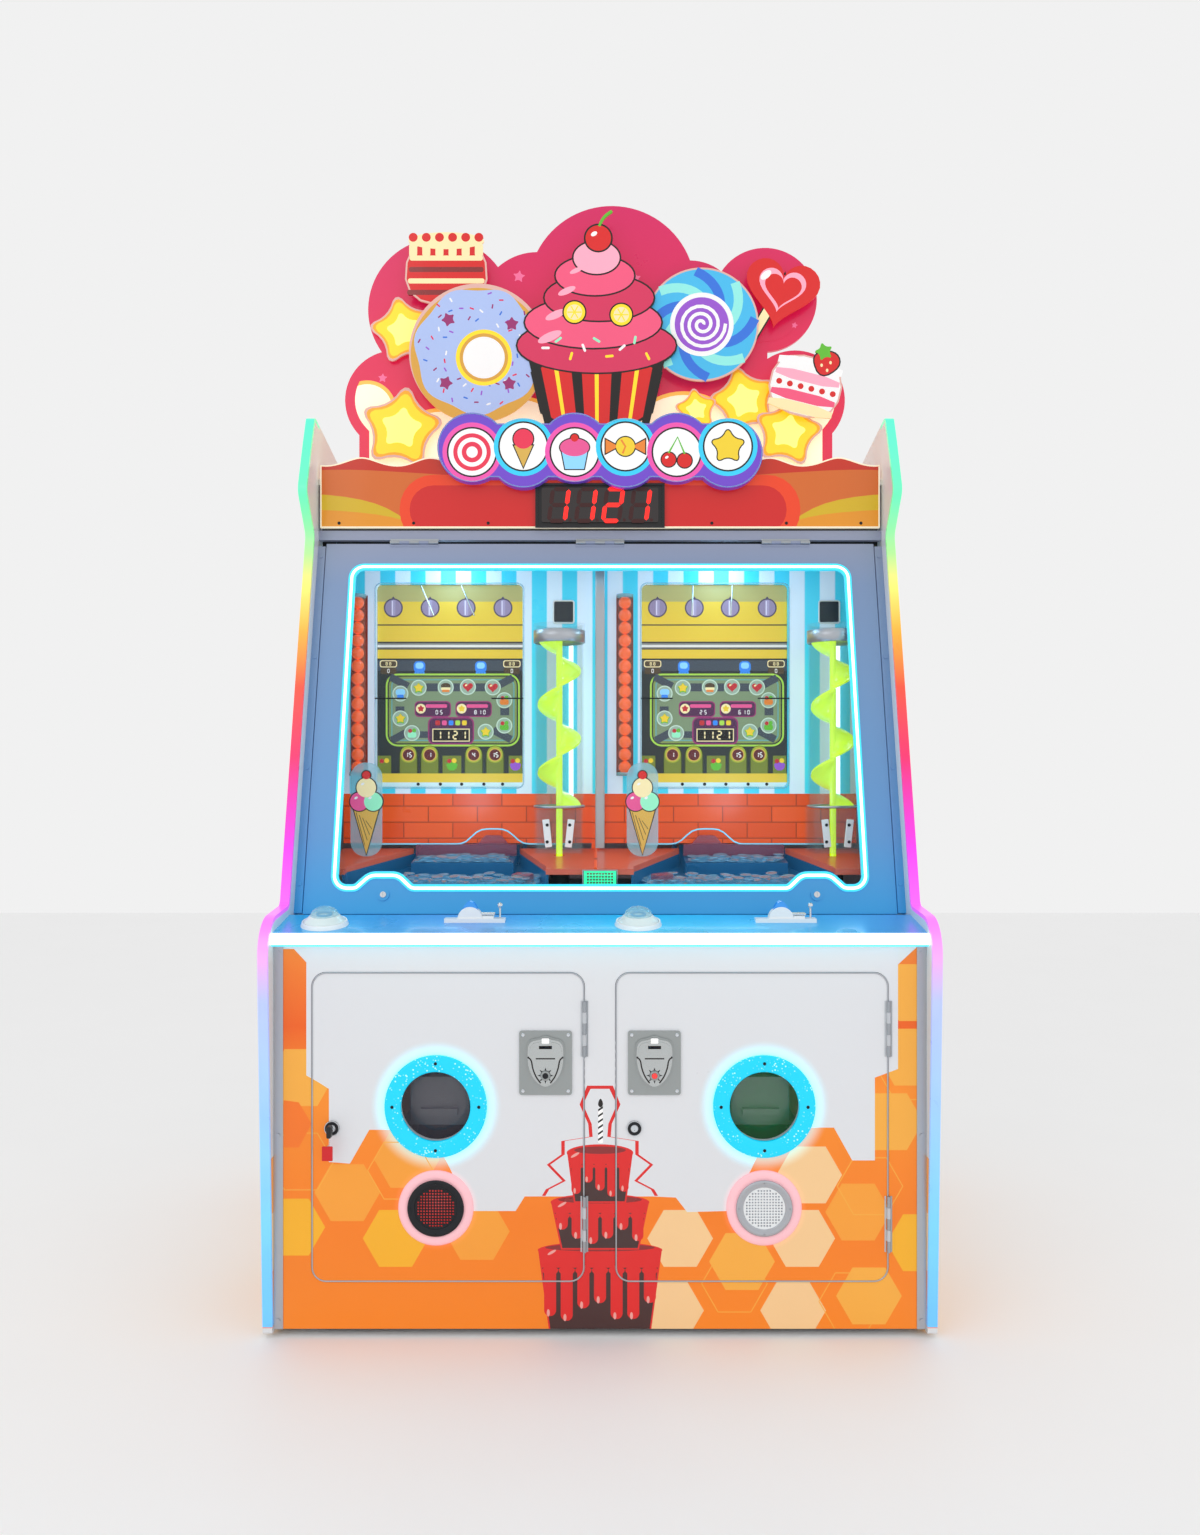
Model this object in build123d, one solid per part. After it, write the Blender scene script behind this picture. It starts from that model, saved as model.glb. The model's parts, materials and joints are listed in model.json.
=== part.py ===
from build123d import *
import os
from math import cos, pi, radians, sin

# Two-station coin pusher cabinet. Millimetres, X right, Y back (the player stands at -Y), Z up.
# The origin is on the floor, in the middle of the cabinet's width and depth.

# ---- driving dimensions ----
WIDTH = 1250.0
DEPTH = 950.0
HEIGHT = 2400.0
SIDE_T = 18.0
HALF_W = WIDTH / 2
INNER = HALF_W - SIDE_T
BACK_Y = DEPTH / 2
STATION = 297.5
FOOT_H = 8.0

PANEL_FRONT = -431.0
PANEL_T = 18.0
DOOR_T = 15.0
DOOR_W = 505.0
DOOR_H = 573.0
DOOR_X = 282.5
DOOR_Z = 390.0
DOOR_R = 26.0
DOOR_GAP = 2.0
HINGE_R = 3.5
HINGE_L = 104.0
HINGE_Z = (573.0, 210.0)

RING_X = 305.0
RING_Z = 429.0
RING_BORE = 66.0
RING_R = 95.0
SPEAKER_Z = 240.0
SPEAKER_GLOW_R = 70.0
SPEAKER_R = 52.5
COIN_X = 101.0
COIN_Z = 510.0
LOCK_X = {"left": -498.0, "right": 64.0}
LOCK_Z = 388.0

CONSOLE_FRONT = -440.0
CONSOLE_BACK = -318.0
CONSOLE_Z = 752.0
CONSOLE_TILT = 8.7
CONSOLE_T = 12.0
START_DX = -225.0
START_Y = -385.0
RAIL_DX = 56.0
RAIL_Y = -362.0

WINDOW_Y = -286.8
WINDOW_Z = 768.5
WINDOW_LEAN = 15.0
WINDOW_W = 1178.0
WINDOW_H = 799.0
WINDOW_D = 24.0
LIGHT_HALF = 537.0
LIGHT_LOW = 44.0
LIGHT_HIGH = 752.0
LIGHT_T = 15.0
WINDOW_LOCK_X = 431.0
WINDOW_LOCK_V = 38.0

MARQUEE_Y = -90.0
MARQUEE_LOW = 1569.5
MARQUEE_TOP = 1719.0
WALL_Y = 24.0
WALL_T = 12.0
SCREEN_DX = -40.0
SCREEN_Z = 1242.0
SCREEN_W = 328.0
SCREEN_H = 455.0
LIFT_DX = 209.0
LIFT_Y = -56.0
SCREW_R = 47.0
SCREW_PITCH = 148.0
SCREW_LOW = 972.0
SCREW_TURNS = 2.5
BALL_DX = -242.0
BALL_R = 14.0
BALL_COUNT = 14

DECK_Z = 877.0
DECK_TILT = 6.9
DECK_FRONT = -225.0
DECK_T = 12.0
BED_LOW = -40.0
PUSHER_TOP = -14.0
CRANK_Y = 205.0
CRANK_THROW = 22.0

TOPPER_Y = 198.0
ROOF_Z = 1680.0

SIDES = {"left": -1, "right": 1}


# ---- shape helpers ----
def block(x0, x1, y0, y1, z0, z1):
    centre = Pos((x0 + x1) / 2, (y0 + y1) / 2, (z0 + z1) / 2)
    return centre * Box(x1 - x0, y1 - y0, z1 - z0)


def rod_x(x0, x1, y, z, r):
    return Pos((x0 + x1) / 2, y, z) * Rot(0, 90, 0) * Cylinder(r, x1 - x0)


def rod_y(x, y0, y1, z, r):
    return Pos(x, (y0 + y1) / 2, z) * Rot(90, 0, 0) * Cylinder(r, y1 - y0)


def rod_z(x, y, z0, z1, r):
    return Pos(x, y, (z0 + z1) / 2) * Cylinder(r, z1 - z0)


def front_sheet(sketch, y0, y1):
    """Extrude a sketch drawn in (X, Z) from y0 back to y1."""
    return extrude(Plane.XZ.offset(-y1) * sketch, amount=y1 - y0)


def flat_sheet(sketch, z0, z1):
    return extrude(Pos(0, 0, z0) * sketch, amount=z1 - z0)


def side_sheet(sketch, x0, x1):
    """Extrude a sketch drawn in (Y, Z) from x0 to x1."""
    return extrude(Plane.YZ.offset(x0) * sketch, amount=x1 - x0)


def outline(points, radii=0.0):
    if radii:
        return make_face(FilletPolyline(*points, radius=radii, close=True))
    return make_face(Polyline(*points, close=True))


def rounded(x, z, width, height, r):
    return Pos(x, z) * RectangleRounded(width, height, r)


def ring_y(x, z, r_out, r_in, y0, y1):
    return front_sheet(Pos(x, z) * (Circle(r_out) - Circle(r_in)), y0, y1)


def tube(x0, x1, y0, y1, z0, z1, wall=2.0):
    """Square steel tube along the longest side of its box."""
    spans = [x1 - x0, y1 - y0, z1 - z0]
    inset = [wall if span < max(spans) else -1.0 for span in spans]
    dx, dy, dz = inset
    bore = block(x0 + dx, x1 - dx, y0 + dy, y1 - dy, z0 + dz, z1 - dz)
    return block(x0, x1, y0, y1, z0, z1) - bore


def group(*pieces):
    solids = []
    for piece in pieces:
        solids.extend(piece.solids())
    return Compound(children=solids)


def lean(shape):
    """Place a shape drawn upright, front face at y = 0 and bottom at z = 0, in the window's plane."""
    return Pos(0, WINDOW_Y, WINDOW_Z) * Rot(-WINDOW_LEAN, 0, 0) * shape


def on_deck(shape):
    """Place a shape drawn with the deck's top at z = 0 and the back wall at y = 0."""
    return Pos(0, WALL_Y, DECK_Z) * Rot(DECK_TILT, 0, 0) * shape


def console_height(y):
    slope = sin(radians(CONSOLE_TILT)) / cos(radians(CONSOLE_TILT))
    return CONSOLE_Z + slope * (y - CONSOLE_FRONT)


def on_console(x, y, shape):
    return Pos(x, y, console_height(y)) * Rot(CONSOLE_TILT, 0, 0) * shape


# ---- hinges: axis on Z, fixed leaf towards +X, moving leaf towards -X, mounting face at +Y ----
KNUCKLES = 5
KNUCKLE_GAP = 0.4
LEAF_T = 1.2
PIN_R = 1.5
PIN_CLEARANCE = 0.05


def hinge(length, leaf_w, moving):
    shape = None
    pitch = length / KNUCKLES
    side = -1 if moving else 1
    for i in range(KNUCKLES):
        if (i % 2 == 1) != moving:
            continue
        z0 = -length / 2 + i * pitch + KNUCKLE_GAP / 2
        z1 = z0 + pitch - KNUCKLE_GAP
        barrel = rod_z(0, 0, z0, z1, HINGE_R)
        tab_x = sorted((0, side * (HINGE_R + 1)))
        tab = block(tab_x[0], tab_x[1], HINGE_R - LEAF_T, HINGE_R, z0, z1)
        piece = barrel + tab
        shape = piece if shape is None else shape + piece
    leaf_x = sorted((side * (HINGE_R + 1), side * leaf_w))
    half = length / 2 - KNUCKLE_GAP / 2
    shape = shape + block(leaf_x[0], leaf_x[1], HINGE_R - LEAF_T, HINGE_R, -half, half)
    if moving:
        return shape - rod_z(0, 0, -length, length, PIN_R + PIN_CLEARANCE)
    return shape + rod_z(0, 0, -half, half, PIN_R)


DOOR_AXIS_Y = PANEL_FRONT - HINGE_R
REAR_FACE = BACK_Y - 8.0
REAR_AXIS_Y = REAR_FACE + HINGE_R
REAR_DOOR = (-260.0, 260.0, 160.0, 820.0)
LEAF_W = 7.0


def door_axis_x(side):
    return side * DOOR_X + DOOR_W / 2 + DOOR_GAP / 2


def door_hinges(side, moving):
    return [Pos(door_axis_x(side), DOOR_AXIS_Y, z) * hinge(HINGE_L, LEAF_W, moving) for z in HINGE_Z]


def rear_hinges(moving):
    turned = Rot(0, 0, 180)
    x = REAR_DOOR[0] - DOOR_GAP / 2
    return [Pos(x, REAR_AXIS_Y, z) * turned * hinge(HINGE_L, LEAF_W, moving) for z in (280.0, 700.0)]


WINDOW_AXIS = (-HINGE_R, WINDOW_H + 2.0)
WINDOW_HINGE_X = (-400.0, 0.0, 400.0)


def window_hinges(moving):
    turned = Rot(0, -90, 0)
    places = [Pos(x, WINDOW_AXIS[0], WINDOW_AXIS[1]) for x in WINDOW_HINGE_X]
    return [lean(place * turned * hinge(HINGE_L, 9.0, moving)) for place in places]


# ---- cabinet ----
def side_outline():
    points = [
        (-440, FOOT_H),
        (-478.1, 776),
        (-323, 790),
        (-119, 1552),
        (-187, 1632),
        (-140, 1745),
        (-112, 1805),
        (BACK_Y, 1690),
        (BACK_Y, FOOT_H),
    ]
    return outline(points, [6, 68, 14, 26, 26, 60, 14, 20, 4])


def light_zone():
    """The strip of the side outline that the edge light takes: everything ahead of this line."""
    points = [
        (-520, FOOT_H + 14),
        (-400, FOOT_H + 14),
        (-400, 740),
        (-290, 762),
        (-85, 1545),
        (-110, 1640),
        (-85, 1725),
        (-60, 1830),
        (-520, 1830),
    ]
    return outline(points)


EDGE_T = 8.0


def edge_band():
    whole = side_outline()
    core = offset(whole, amount=-EDGE_T)
    return (whole - core) & light_zone()


def side_panel(side, band):
    x = sorted((side * INNER, side * HALF_W))
    return side_sheet(side_outline() - band, x[0], x[1])


def edge_light(side, band):
    x = sorted((side * INNER, side * HALF_W))
    return side_sheet(band, x[0], x[1])


POST = 30.0
POST_X = INNER - POST
FRONT_POST = PANEL_FRONT + PANEL_T + 8.0
REAR_POST = REAR_FACE - 12.0 - POST
UPPER_POST = -40.0
RAIL_LOW = 40.0
RAIL_MID = 650.0
RAIL_TOP = ROOF_Z - 12.0 - POST


def cabinet_frame():
    pieces = []
    for side in (-1, 1):
        x = sorted((side * POST_X, side * INNER))
        pieces.append(tube(x[0], x[1], FRONT_POST, FRONT_POST + POST, RAIL_LOW, RAIL_MID + POST))
        pieces.append(tube(x[0], x[1], REAR_POST, REAR_POST + POST, RAIL_LOW, RAIL_TOP))
        pieces.append(tube(x[0], x[1], FRONT_POST + POST, REAR_POST, RAIL_LOW, RAIL_LOW + POST))
        pieces.append(tube(x[0], x[1], FRONT_POST + POST, REAR_POST, RAIL_MID, RAIL_MID + POST))
        pieces.append(tube(x[0], x[1], UPPER_POST, UPPER_POST + POST, RAIL_MID + POST, RAIL_TOP))
        pieces.append(tube(x[0], x[1], UPPER_POST, REAR_POST + POST, RAIL_TOP, RAIL_TOP + POST))
    for y in (FRONT_POST, REAR_POST):
        pieces.append(tube(-POST_X, POST_X, y, y + POST, RAIL_LOW, RAIL_LOW + POST))
        pieces.append(tube(-POST_X, POST_X, y, y + POST, RAIL_MID, RAIL_MID + POST))
    pieces.append(tube(-POST_X, POST_X, REAR_POST, REAR_POST + POST, RAIL_TOP, RAIL_TOP + POST))
    pieces.append(block(-POST_X, POST_X, FRONT_POST, REAR_POST + POST, RAIL_LOW - 12, RAIL_LOW))
    return group(*pieces)


FOOT_X = 540.0
FOOT_Y = (-375.0, 410.0)


def levelling_feet():
    pieces = []
    for x in (-FOOT_X, FOOT_X):
        for y in FOOT_Y:
            pad = rod_z(x, y, 0, 9, 25)
            nut = extrude(Pos(x, y, 16) * RegularPolygon(11, 6), amount=7)
            pieces.append(pad + rod_z(x, y, 9, RAIL_LOW - 12, 6) + nut)
    return group(*pieces)


def door_opening(side):
    width = DOOR_W + 2 * DOOR_GAP
    height = DOOR_H + 2 * DOOR_GAP
    return rounded(side * DOOR_X, DOOR_Z, width, height, DOOR_R + DOOR_GAP)


TRIM_W = 18.0
PANEL_LOW = 15.0
PANEL_HIGH = 735.0


def front_panel():
    face = Pos(0, (PANEL_LOW + PANEL_HIGH) / 2) * Rectangle(2 * (INNER - 2), PANEL_HIGH - PANEL_LOW)
    face = face - door_opening(-1) - door_opening(1)
    return front_sheet(face, PANEL_FRONT, PANEL_FRONT + PANEL_T)


def corner_trims():
    pieces = []
    for side in (-1, 1):
        edge = sorted((side * (INNER - 2), side * INNER))
        flange = sorted((side * (INNER - TRIM_W), side * INNER))
        angle = block(flange[0], flange[1], PANEL_FRONT - 2, PANEL_FRONT, PANEL_LOW, PANEL_HIGH)
        angle = angle + block(edge[0], edge[1], PANEL_FRONT, PANEL_FRONT + PANEL_T, PANEL_LOW, PANEL_HIGH)
        for z in (31.0, 375.0, 715.0):
            angle = angle + rod_y(side * (INNER - TRIM_W / 2), PANEL_FRONT - 4, PANEL_FRONT - 2, z, 4)
        pieces.append(angle)
    return group(*pieces)


# ---- access doors and what they carry ----
LOCK_BORE = 6.05
COIN_SLOT = (24.0, 6.0)
COIN_SLOT_DZ = 30.0
BUTTON_DZ = -22.0


def coin_slot_sketch(x, grow=0.0):
    slot = Rectangle(COIN_SLOT[0] + grow, COIN_SLOT[1] + grow)
    return Pos(x, COIN_Z + COIN_SLOT_DZ) * slot


def access_door(side_name):
    side = SIDES[side_name]
    face = rounded(side * DOOR_X, DOOR_Z, DOOR_W, DOOR_H, DOOR_R)
    face = face - Pos(side * RING_X, RING_Z) * Circle(RING_BORE)
    face = face - Pos(side * RING_X, SPEAKER_Z) * Circle(SPEAKER_R - 4.5)
    face = face - Pos(LOCK_X[side_name], LOCK_Z) * Circle(9.5)
    face = face - coin_slot_sketch(side * COIN_X, 4.0)
    face = face - Pos(side * COIN_X, COIN_Z + BUTTON_DZ) * Circle(10)
    panel = front_sheet(face, PANEL_FRONT, PANEL_FRONT + DOOR_T)
    x = LOCK_X[side_name]
    housing = rod_y(x, PANEL_FRONT - 4, PANEL_FRONT, LOCK_Z, 14)
    housing = housing + rod_y(x, PANEL_FRONT, PANEL_FRONT + DOOR_T, LOCK_Z, 9)
    housing = housing - rod_y(x, PANEL_FRONT - 9, PANEL_FRONT + 30, LOCK_Z, LOCK_BORE)
    return group(panel, housing, *door_hinges(side, True))


def cam_lock(x, z, y_face, depth, cam_x, cam_z):
    """Lock plug with its cam: the cam reaches cam_x sideways or cam_z upwards behind the panel."""
    plug = rod_y(x, y_face - 5, y_face + depth + 4, z, LOCK_BORE - PIN_CLEARANCE)
    plug = plug - block(x - 1, x + 1, y_face - 6, y_face - 2, z - 4, z + 4)
    xs = sorted((x - 7 if cam_x >= 0 else x + 7, x + cam_x if cam_x else x + 7))
    zs = sorted((z - 7, z + (cam_z if cam_z else 7)))
    return plug + block(xs[0], xs[1], y_face + depth + 1, y_face + depth + 4, zs[0], zs[1])


CAM_REACH = 48.0


def door_lock(side_name):
    x = LOCK_X[side_name]
    lock = cam_lock(x, LOCK_Z, PANEL_FRONT, PANEL_T, 0, CAM_REACH)
    if side_name == "right":
        return lock
    y = PANEL_FRONT
    blade = block(x - 1, x + 1, y - 14, y - 2, LOCK_Z - 4, LOCK_Z + 4)
    head = front_sheet(rounded(x, LOCK_Z, 8, 22, 3), y - 32, y - 14)
    tie = block(x - 1, x + 1, y - 28, y - 26, LOCK_Z - 26, LOCK_Z - 9)
    tag = front_sheet(rounded(x, LOCK_Z - 38, 22, 26, 5), y - 29, y - 25)
    return group(lock + blade + head, tie, tag)


def porthole(side_name):
    x = SIDES[side_name] * RING_X
    ring = ring_y(x, RING_Z, RING_R, RING_BORE - 2, PANEL_FRONT - 8, PANEL_FRONT)
    pane = rod_y(x, PANEL_FRONT + DOOR_T, PANEL_FRONT + DOOR_T + 4, RING_Z, RING_BORE + 9)
    screws = []
    for i in range(4):
        angle = i * pi / 2
        sx = x + 80.5 * cos(angle)
        sz = RING_Z + 80.5 * sin(angle)
        screws.append(rod_y(sx, PANEL_FRONT - 10, PANEL_FRONT - 8, sz, 3))
    return group(ring, pane, *screws)


def speaker(side_name):
    x = SIDES[side_name] * RING_X
    y = PANEL_FRONT
    glow = ring_y(x, SPEAKER_Z, SPEAKER_GLOW_R, SPEAKER_R, y - 4, y)
    bezel = ring_y(x, SPEAKER_Z, SPEAKER_R, 39.5, y - 7, y)
    mesh = rod_y(x, y - 4, y - 2, SPEAKER_Z, 39.5)
    basket = rod_y(x, y, y + 24, SPEAKER_Z, SPEAKER_R - 5) + rod_y(x, y + 24, y + 48, SPEAKER_Z, 30)
    return group(glow, bezel, mesh, basket)


def coin_plate(side_name):
    x = SIDES[side_name] * COIN_X
    y = PANEL_FRONT
    plate = front_sheet(rounded(x, COIN_Z, 98, 119, 5), y - 4, y)
    shield = outline(
        [
            (x - 36, COIN_Z + 44),
            (x + 36, COIN_Z + 44),
            (x + 36, COIN_Z - 8),
            (x, COIN_Z - 52),
            (x - 36, COIN_Z - 8),
        ],
        [8, 8, 26, 16, 26],
    )
    plate = plate + front_sheet(shield, y - 10, y - 4)
    for dx in (-42, 42):
        for dz in (-52, 52):
            plate = plate + rod_y(x + dx, y - 6, y - 4, COIN_Z + dz, 3)
    plate = plate - front_sheet(coin_slot_sketch(x), y - 20, y + 1)
    return plate - rod_y(x, y - 20, y + 1, COIN_Z + BUTTON_DZ, 9.3)


def return_button(side_name):
    x = SIDES[side_name] * COIN_X
    z = COIN_Z + BUTTON_DZ
    y = PANEL_FRONT
    return rod_y(x, y - 14, y - 2, z, 9) + rod_y(x, y - 2, y + DOOR_T - 4, z, 5)


# ---- console ----
def console_top():
    slope = console_height(CONSOLE_BACK) - CONSOLE_Z
    profile = outline(
        [
            (CONSOLE_FRONT, CONSOLE_Z),
            (CONSOLE_BACK, CONSOLE_Z + slope),
            (CONSOLE_BACK, CONSOLE_Z + slope - CONSOLE_T),
            (CONSOLE_FRONT + 4, CONSOLE_Z - CONSOLE_T),
            (CONSOLE_FRONT + 4, CONSOLE_Z - 20),
            (CONSOLE_FRONT, CONSOLE_Z - 20),
        ]
    )
    plate = side_sheet(profile, -INNER, INNER)
    for side in (-1, 1):
        hole = Cylinder(13, 60)
        plate = plate - on_console(side * STATION + START_DX, START_Y, hole)
        x = side * STATION + RAIL_DX
        plate = plate - block(x - 24, x + 10, RAIL_Y - 5, RAIL_Y + 5, CONSOLE_Z - 30, CONSOLE_Z + 60)
    return plate


def start_flange(side):
    base = Cone(45, 42, 8, align=(Align.CENTER, Align.CENTER, Align.MIN))
    base = base - Pos(0, 0, 0) * Cylinder(39.5, 40)
    switch = Pos(0, 0, -52) * Box(30, 30, 24)
    return on_console(side * STATION + START_DX, START_Y, group(base, switch))


def start_button(side_name):
    skirt = Pos(0, 0, 5) * Cone(39, 27, 13, align=(Align.CENTER, Align.CENTER, Align.MIN))
    dome = Pos(0, 0, 5) * (Sphere(31) & (Pos(0, 0, 25) * Box(80, 80, 30)))
    stem = Pos(0, 0, -14) * Cylinder(12, 40)
    return on_console(SIDES[side_name] * STATION + START_DX, START_Y, skirt + dome + stem)


LEVER_DX = 50.0


def coin_rail(side):
    """A slot between two rails, with a guard cheek and a guide bar on each."""
    x = side * STATION + RAIL_DX
    z = console_height(RAIL_Y)
    top = z + 6
    pieces = []
    for rear in (-1, 1):
        near, far = sorted((RAIL_Y + rear * 3, RAIL_Y + rear * 12))
        rail = block(x - 56, x + 60, near, far, z - 3, top)
        rail = rail - block(x + LEVER_DX - 8, x + LEVER_DX + 8, RAIL_Y - 4, RAIL_Y + 4, z + 1, top)
        pieces.append(rail - console_top())
        near, far = sorted((RAIL_Y + rear * 3, RAIL_Y + rear * 9))
        cheek = Circle(24) & Pos(0, 13) * Rectangle(60, 22)
        pieces.append(front_sheet(Pos(x - 7, z + 4) * cheek, near, far))
        pieces.append(block(x + 17, x + 38, near, far, top, z + 11))
    for start, end in ((x - 56, x - 22), (x + 8, x + LEVER_DX - 8)):
        pieces.append(block(start, end, RAIL_Y - 3, RAIL_Y + 3, z - 3, top) - console_top())
    return group(*pieces)


def start_flanges():
    return group(start_flange(-1), start_flange(1))


def coin_rails():
    return group(coin_rail(-1), coin_rail(1))


LEVER_Z_RISE = 4.0


def aim_lever(side_name):
    x = SIDES[side_name] * STATION + RAIL_DX + LEVER_DX
    z = console_height(RAIL_Y) + LEVER_Z_RISE
    pivot = rod_y(x, RAIL_Y - 3.6, RAIL_Y + 3.6, z, 2.6)
    return pivot + rod_z(x, RAIL_Y, z, z + 24, 2.2) + Pos(x, RAIL_Y, z + 26) * Sphere(5.5)


# ---- window ----
BUMP_HALF = (53.0, 25.0)
BUMP_RISE = 26.0


def window_outline():
    low = LIGHT_LOW
    left = []
    wide, narrow = BUMP_HALF
    for dx, dz in ((-wide, 0), (-narrow, BUMP_RISE), (narrow, BUMP_RISE), (wide, 0)):
        left.append((-WINDOW_LOCK_X + dx, low + dz))
    right = [(-x, z) for x, z in reversed(left)]
    corners = [(-LIGHT_HALF, low)] + left + right + [(LIGHT_HALF, low)]
    corners = corners + [(LIGHT_HALF, LIGHT_HIGH), (-LIGHT_HALF, LIGHT_HIGH)]
    return outline(corners, [33] + [22] * 8 + [33, 33, 33])


def window_frame():
    tray = block(-WINDOW_W / 2, WINDOW_W / 2, 0, WINDOW_D, 0, WINDOW_H)
    tray = tray - block(-WINDOW_W / 2 + 3, WINDOW_W / 2 - 3, 3, WINDOW_D + 1, 3, WINDOW_H - 3)
    tray = tray - front_sheet(window_outline(), -1, 4)
    housings = []
    for side in (-1, 1):
        x = side * WINDOW_LOCK_X
        tray = tray - rod_y(x, -1, 4, WINDOW_LOCK_V, 8)
        cup = rod_y(x, -3, 0, WINDOW_LOCK_V, 12) + rod_y(x, 0, WINDOW_D, WINDOW_LOCK_V, 7.8)
        housings.append(lean(cup - rod_y(x, -9, WINDOW_D + 9, WINDOW_LOCK_V, LOCK_BORE)))
    return group(lean(tray), *housings, *window_hinges(True))


def window_light():
    band = window_outline() - offset(window_outline(), amount=-LIGHT_T)
    return lean(front_sheet(band, -4, 3))


def window_glass():
    return lean(front_sheet(offset(window_outline(), amount=6), 3, 8))


def window_lock(side_name):
    return lean(cam_lock(SIDES[side_name] * WINDOW_LOCK_X, WINDOW_LOCK_V, 0, WINDOW_D, -CAM_REACH, 0))


JAMB_IN = 591.0
HEADER_FRONT = -77.0


def window_surround():
    pieces = []
    for side in (-1, 1):
        x = sorted((side * JAMB_IN, side * INNER))
        jamb = block(x[0], x[1], 0, 18, 2, WINDOW_H - 6)
        for v in (60.0, 300.0, 540.0, 770.0):
            jamb = jamb + rod_y(side * 599, -2, 0, v, 4)
        pieces.append(lean(jamb))
    sill = outline([(-317, 737), (-317, 765), (-290, 765), (-268, 759), (-268, 737)])
    pieces.append(side_sheet(sill, -INNER, INNER))
    header = block(-INNER, INNER, HEADER_FRONT, -56, 1549, MARQUEE_LOW)
    pieces.append(header)
    return group(*pieces)


# ---- head ----
def wave_top(x):
    return MARQUEE_TOP + 9.0 * cos(2 * pi * (abs(x) - 512) / 150)


def marquee_panel():
    edge_x = INNER - 3
    steps = 26
    across = [-edge_x + 2 * edge_x * i / steps for i in range(steps + 1)]
    points = [(x, wave_top(x)) for x in across]
    top = Spline(*points)
    sides = Polyline(points[-1], (edge_x, MARQUEE_LOW), (-edge_x, MARQUEE_LOW), points[0])
    board = front_sheet(make_face([top, sides]), MARQUEE_Y, MARQUEE_Y + 12)
    shelf = block(-edge_x, edge_x, MARQUEE_Y + 12, -56, MARQUEE_LOW, MARQUEE_LOW + 2)
    return board + shelf


DISPLAY_W = 277.0
DISPLAY_Z = (1573.0, 1667.0)


def digit_display():
    half = DISPLAY_W / 2
    low, high = DISPLAY_Z
    case = block(-half, half, MARQUEE_Y - 9, MARQUEE_Y, low, high)
    return case - block(5 - half, half - 5, MARQUEE_Y - 10, MARQUEE_Y - 6, low + 5, high - 5)


def lobes(circles, foot):
    x0, x1, z0, z1 = foot
    shape = Pos((x0 + x1) / 2, (z0 + z1) / 2) * Rectangle(x1 - x0, z1 - z0)
    for x, z, r in circles:
        shape = shape + Pos(x, z) * Circle(r)
    return shape


def title_plate():
    shapes = [(x, 1733 + 6 * (-1) ** i, 74) for i, x in enumerate((-272, -163, -54, 54, 163, 272))]
    plate = front_sheet(lobes(shapes, (-272, 272, 1675, 1790)), -115, -107)
    pegs = [rod_y(x, -107, MARQUEE_Y, 1690, 7) for x in (-250, 0, 250)]
    return group(plate, *pegs)


def topper_board():
    circles = [
        (-490, 1936, 119),
        (-382, 2152, 172),
        (28, HEIGHT - 200, 200),
        (394, 2176, 124),
        (466, 1936, 119),
        (-150, 2150, 140),
        (215, 2150, 120),
    ]
    board = front_sheet(lobes(circles, (-575, 555, ROOF_Z, 1950)), TOPPER_Y, TOPPER_Y + 10)
    fill = block(-400, 400, TOPPER_Y, TOPPER_Y + 10, 1900, 2150)
    pieces = [board + fill]
    for x in (-420, 0, 420):
        web = outline([(TOPPER_Y + 10, ROOF_Z + 4), (TOPPER_Y + 10, 1980), (TOPPER_Y + 150, ROOF_Z + 4)])
        foot = block(x - 25, x + 25, TOPPER_Y + 10, TOPPER_Y + 150, ROOF_Z, ROOF_Z + 4)
        pieces.append(side_sheet(web, x - 2, x + 2) + foot)
    return group(*pieces)


CUTOUT_Y = 160.0


def topper_cutout():
    circles = [
        (0, 2120, 165),
        (30, 2330, 62),
        (-270, 2070, 165),
        (230, 2110, 120),
        (430, 2170, 78),
        (-470, 2060, 80),
        (-430, 1860, 105),
        (445, 1890, 105),
        (-350, 2230, 85),
        (470, 2010, 80),
    ]
    sheet = lobes(circles, (-440, 460, ROOF_Z + 60, 1960))
    sheet = sheet + Pos(0, 2000) * Rectangle(620, 240) + Pos(30, 2240) * Rectangle(124, 180)
    plate = front_sheet(sheet, CUTOUT_Y, CUTOUT_Y + 8)
    places = ((-400, 1820), (400, 1820), (-250, 2100), (200, 2100), (30, 2300))
    pegs = [rod_y(x, CUTOUT_Y + 8, TOPPER_Y, z, 8) for x, z in places]
    return group(plate, *pegs)


def roof_panel():
    return block(-INNER, INNER, MARQUEE_Y + 12, REAR_FACE - 12, ROOF_Z - 12, ROOF_Z)


def rear_panel():
    face = Pos(0, (PANEL_LOW + ROOF_Z) / 2) * Rectangle(2 * INNER, ROOF_Z - PANEL_LOW)
    mid_x = (REAR_DOOR[0] + REAR_DOOR[1]) / 2
    mid_z = (REAR_DOOR[2] + REAR_DOOR[3]) / 2
    door = Rectangle(REAR_DOOR[1] - REAR_DOOR[0] + 4, REAR_DOOR[3] - REAR_DOOR[2] + 4)
    face = face - Pos(mid_x, mid_z) * door
    for i in range(8):
        for x in (-330, 330):
            face = face - Pos(x, 1300 + 24 * i) * SlotOverall(220, 9)
    face = face - Pos(-480, 120) * Rectangle(48, 28)
    return front_sheet(face, REAR_FACE - 12, REAR_FACE)


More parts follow.
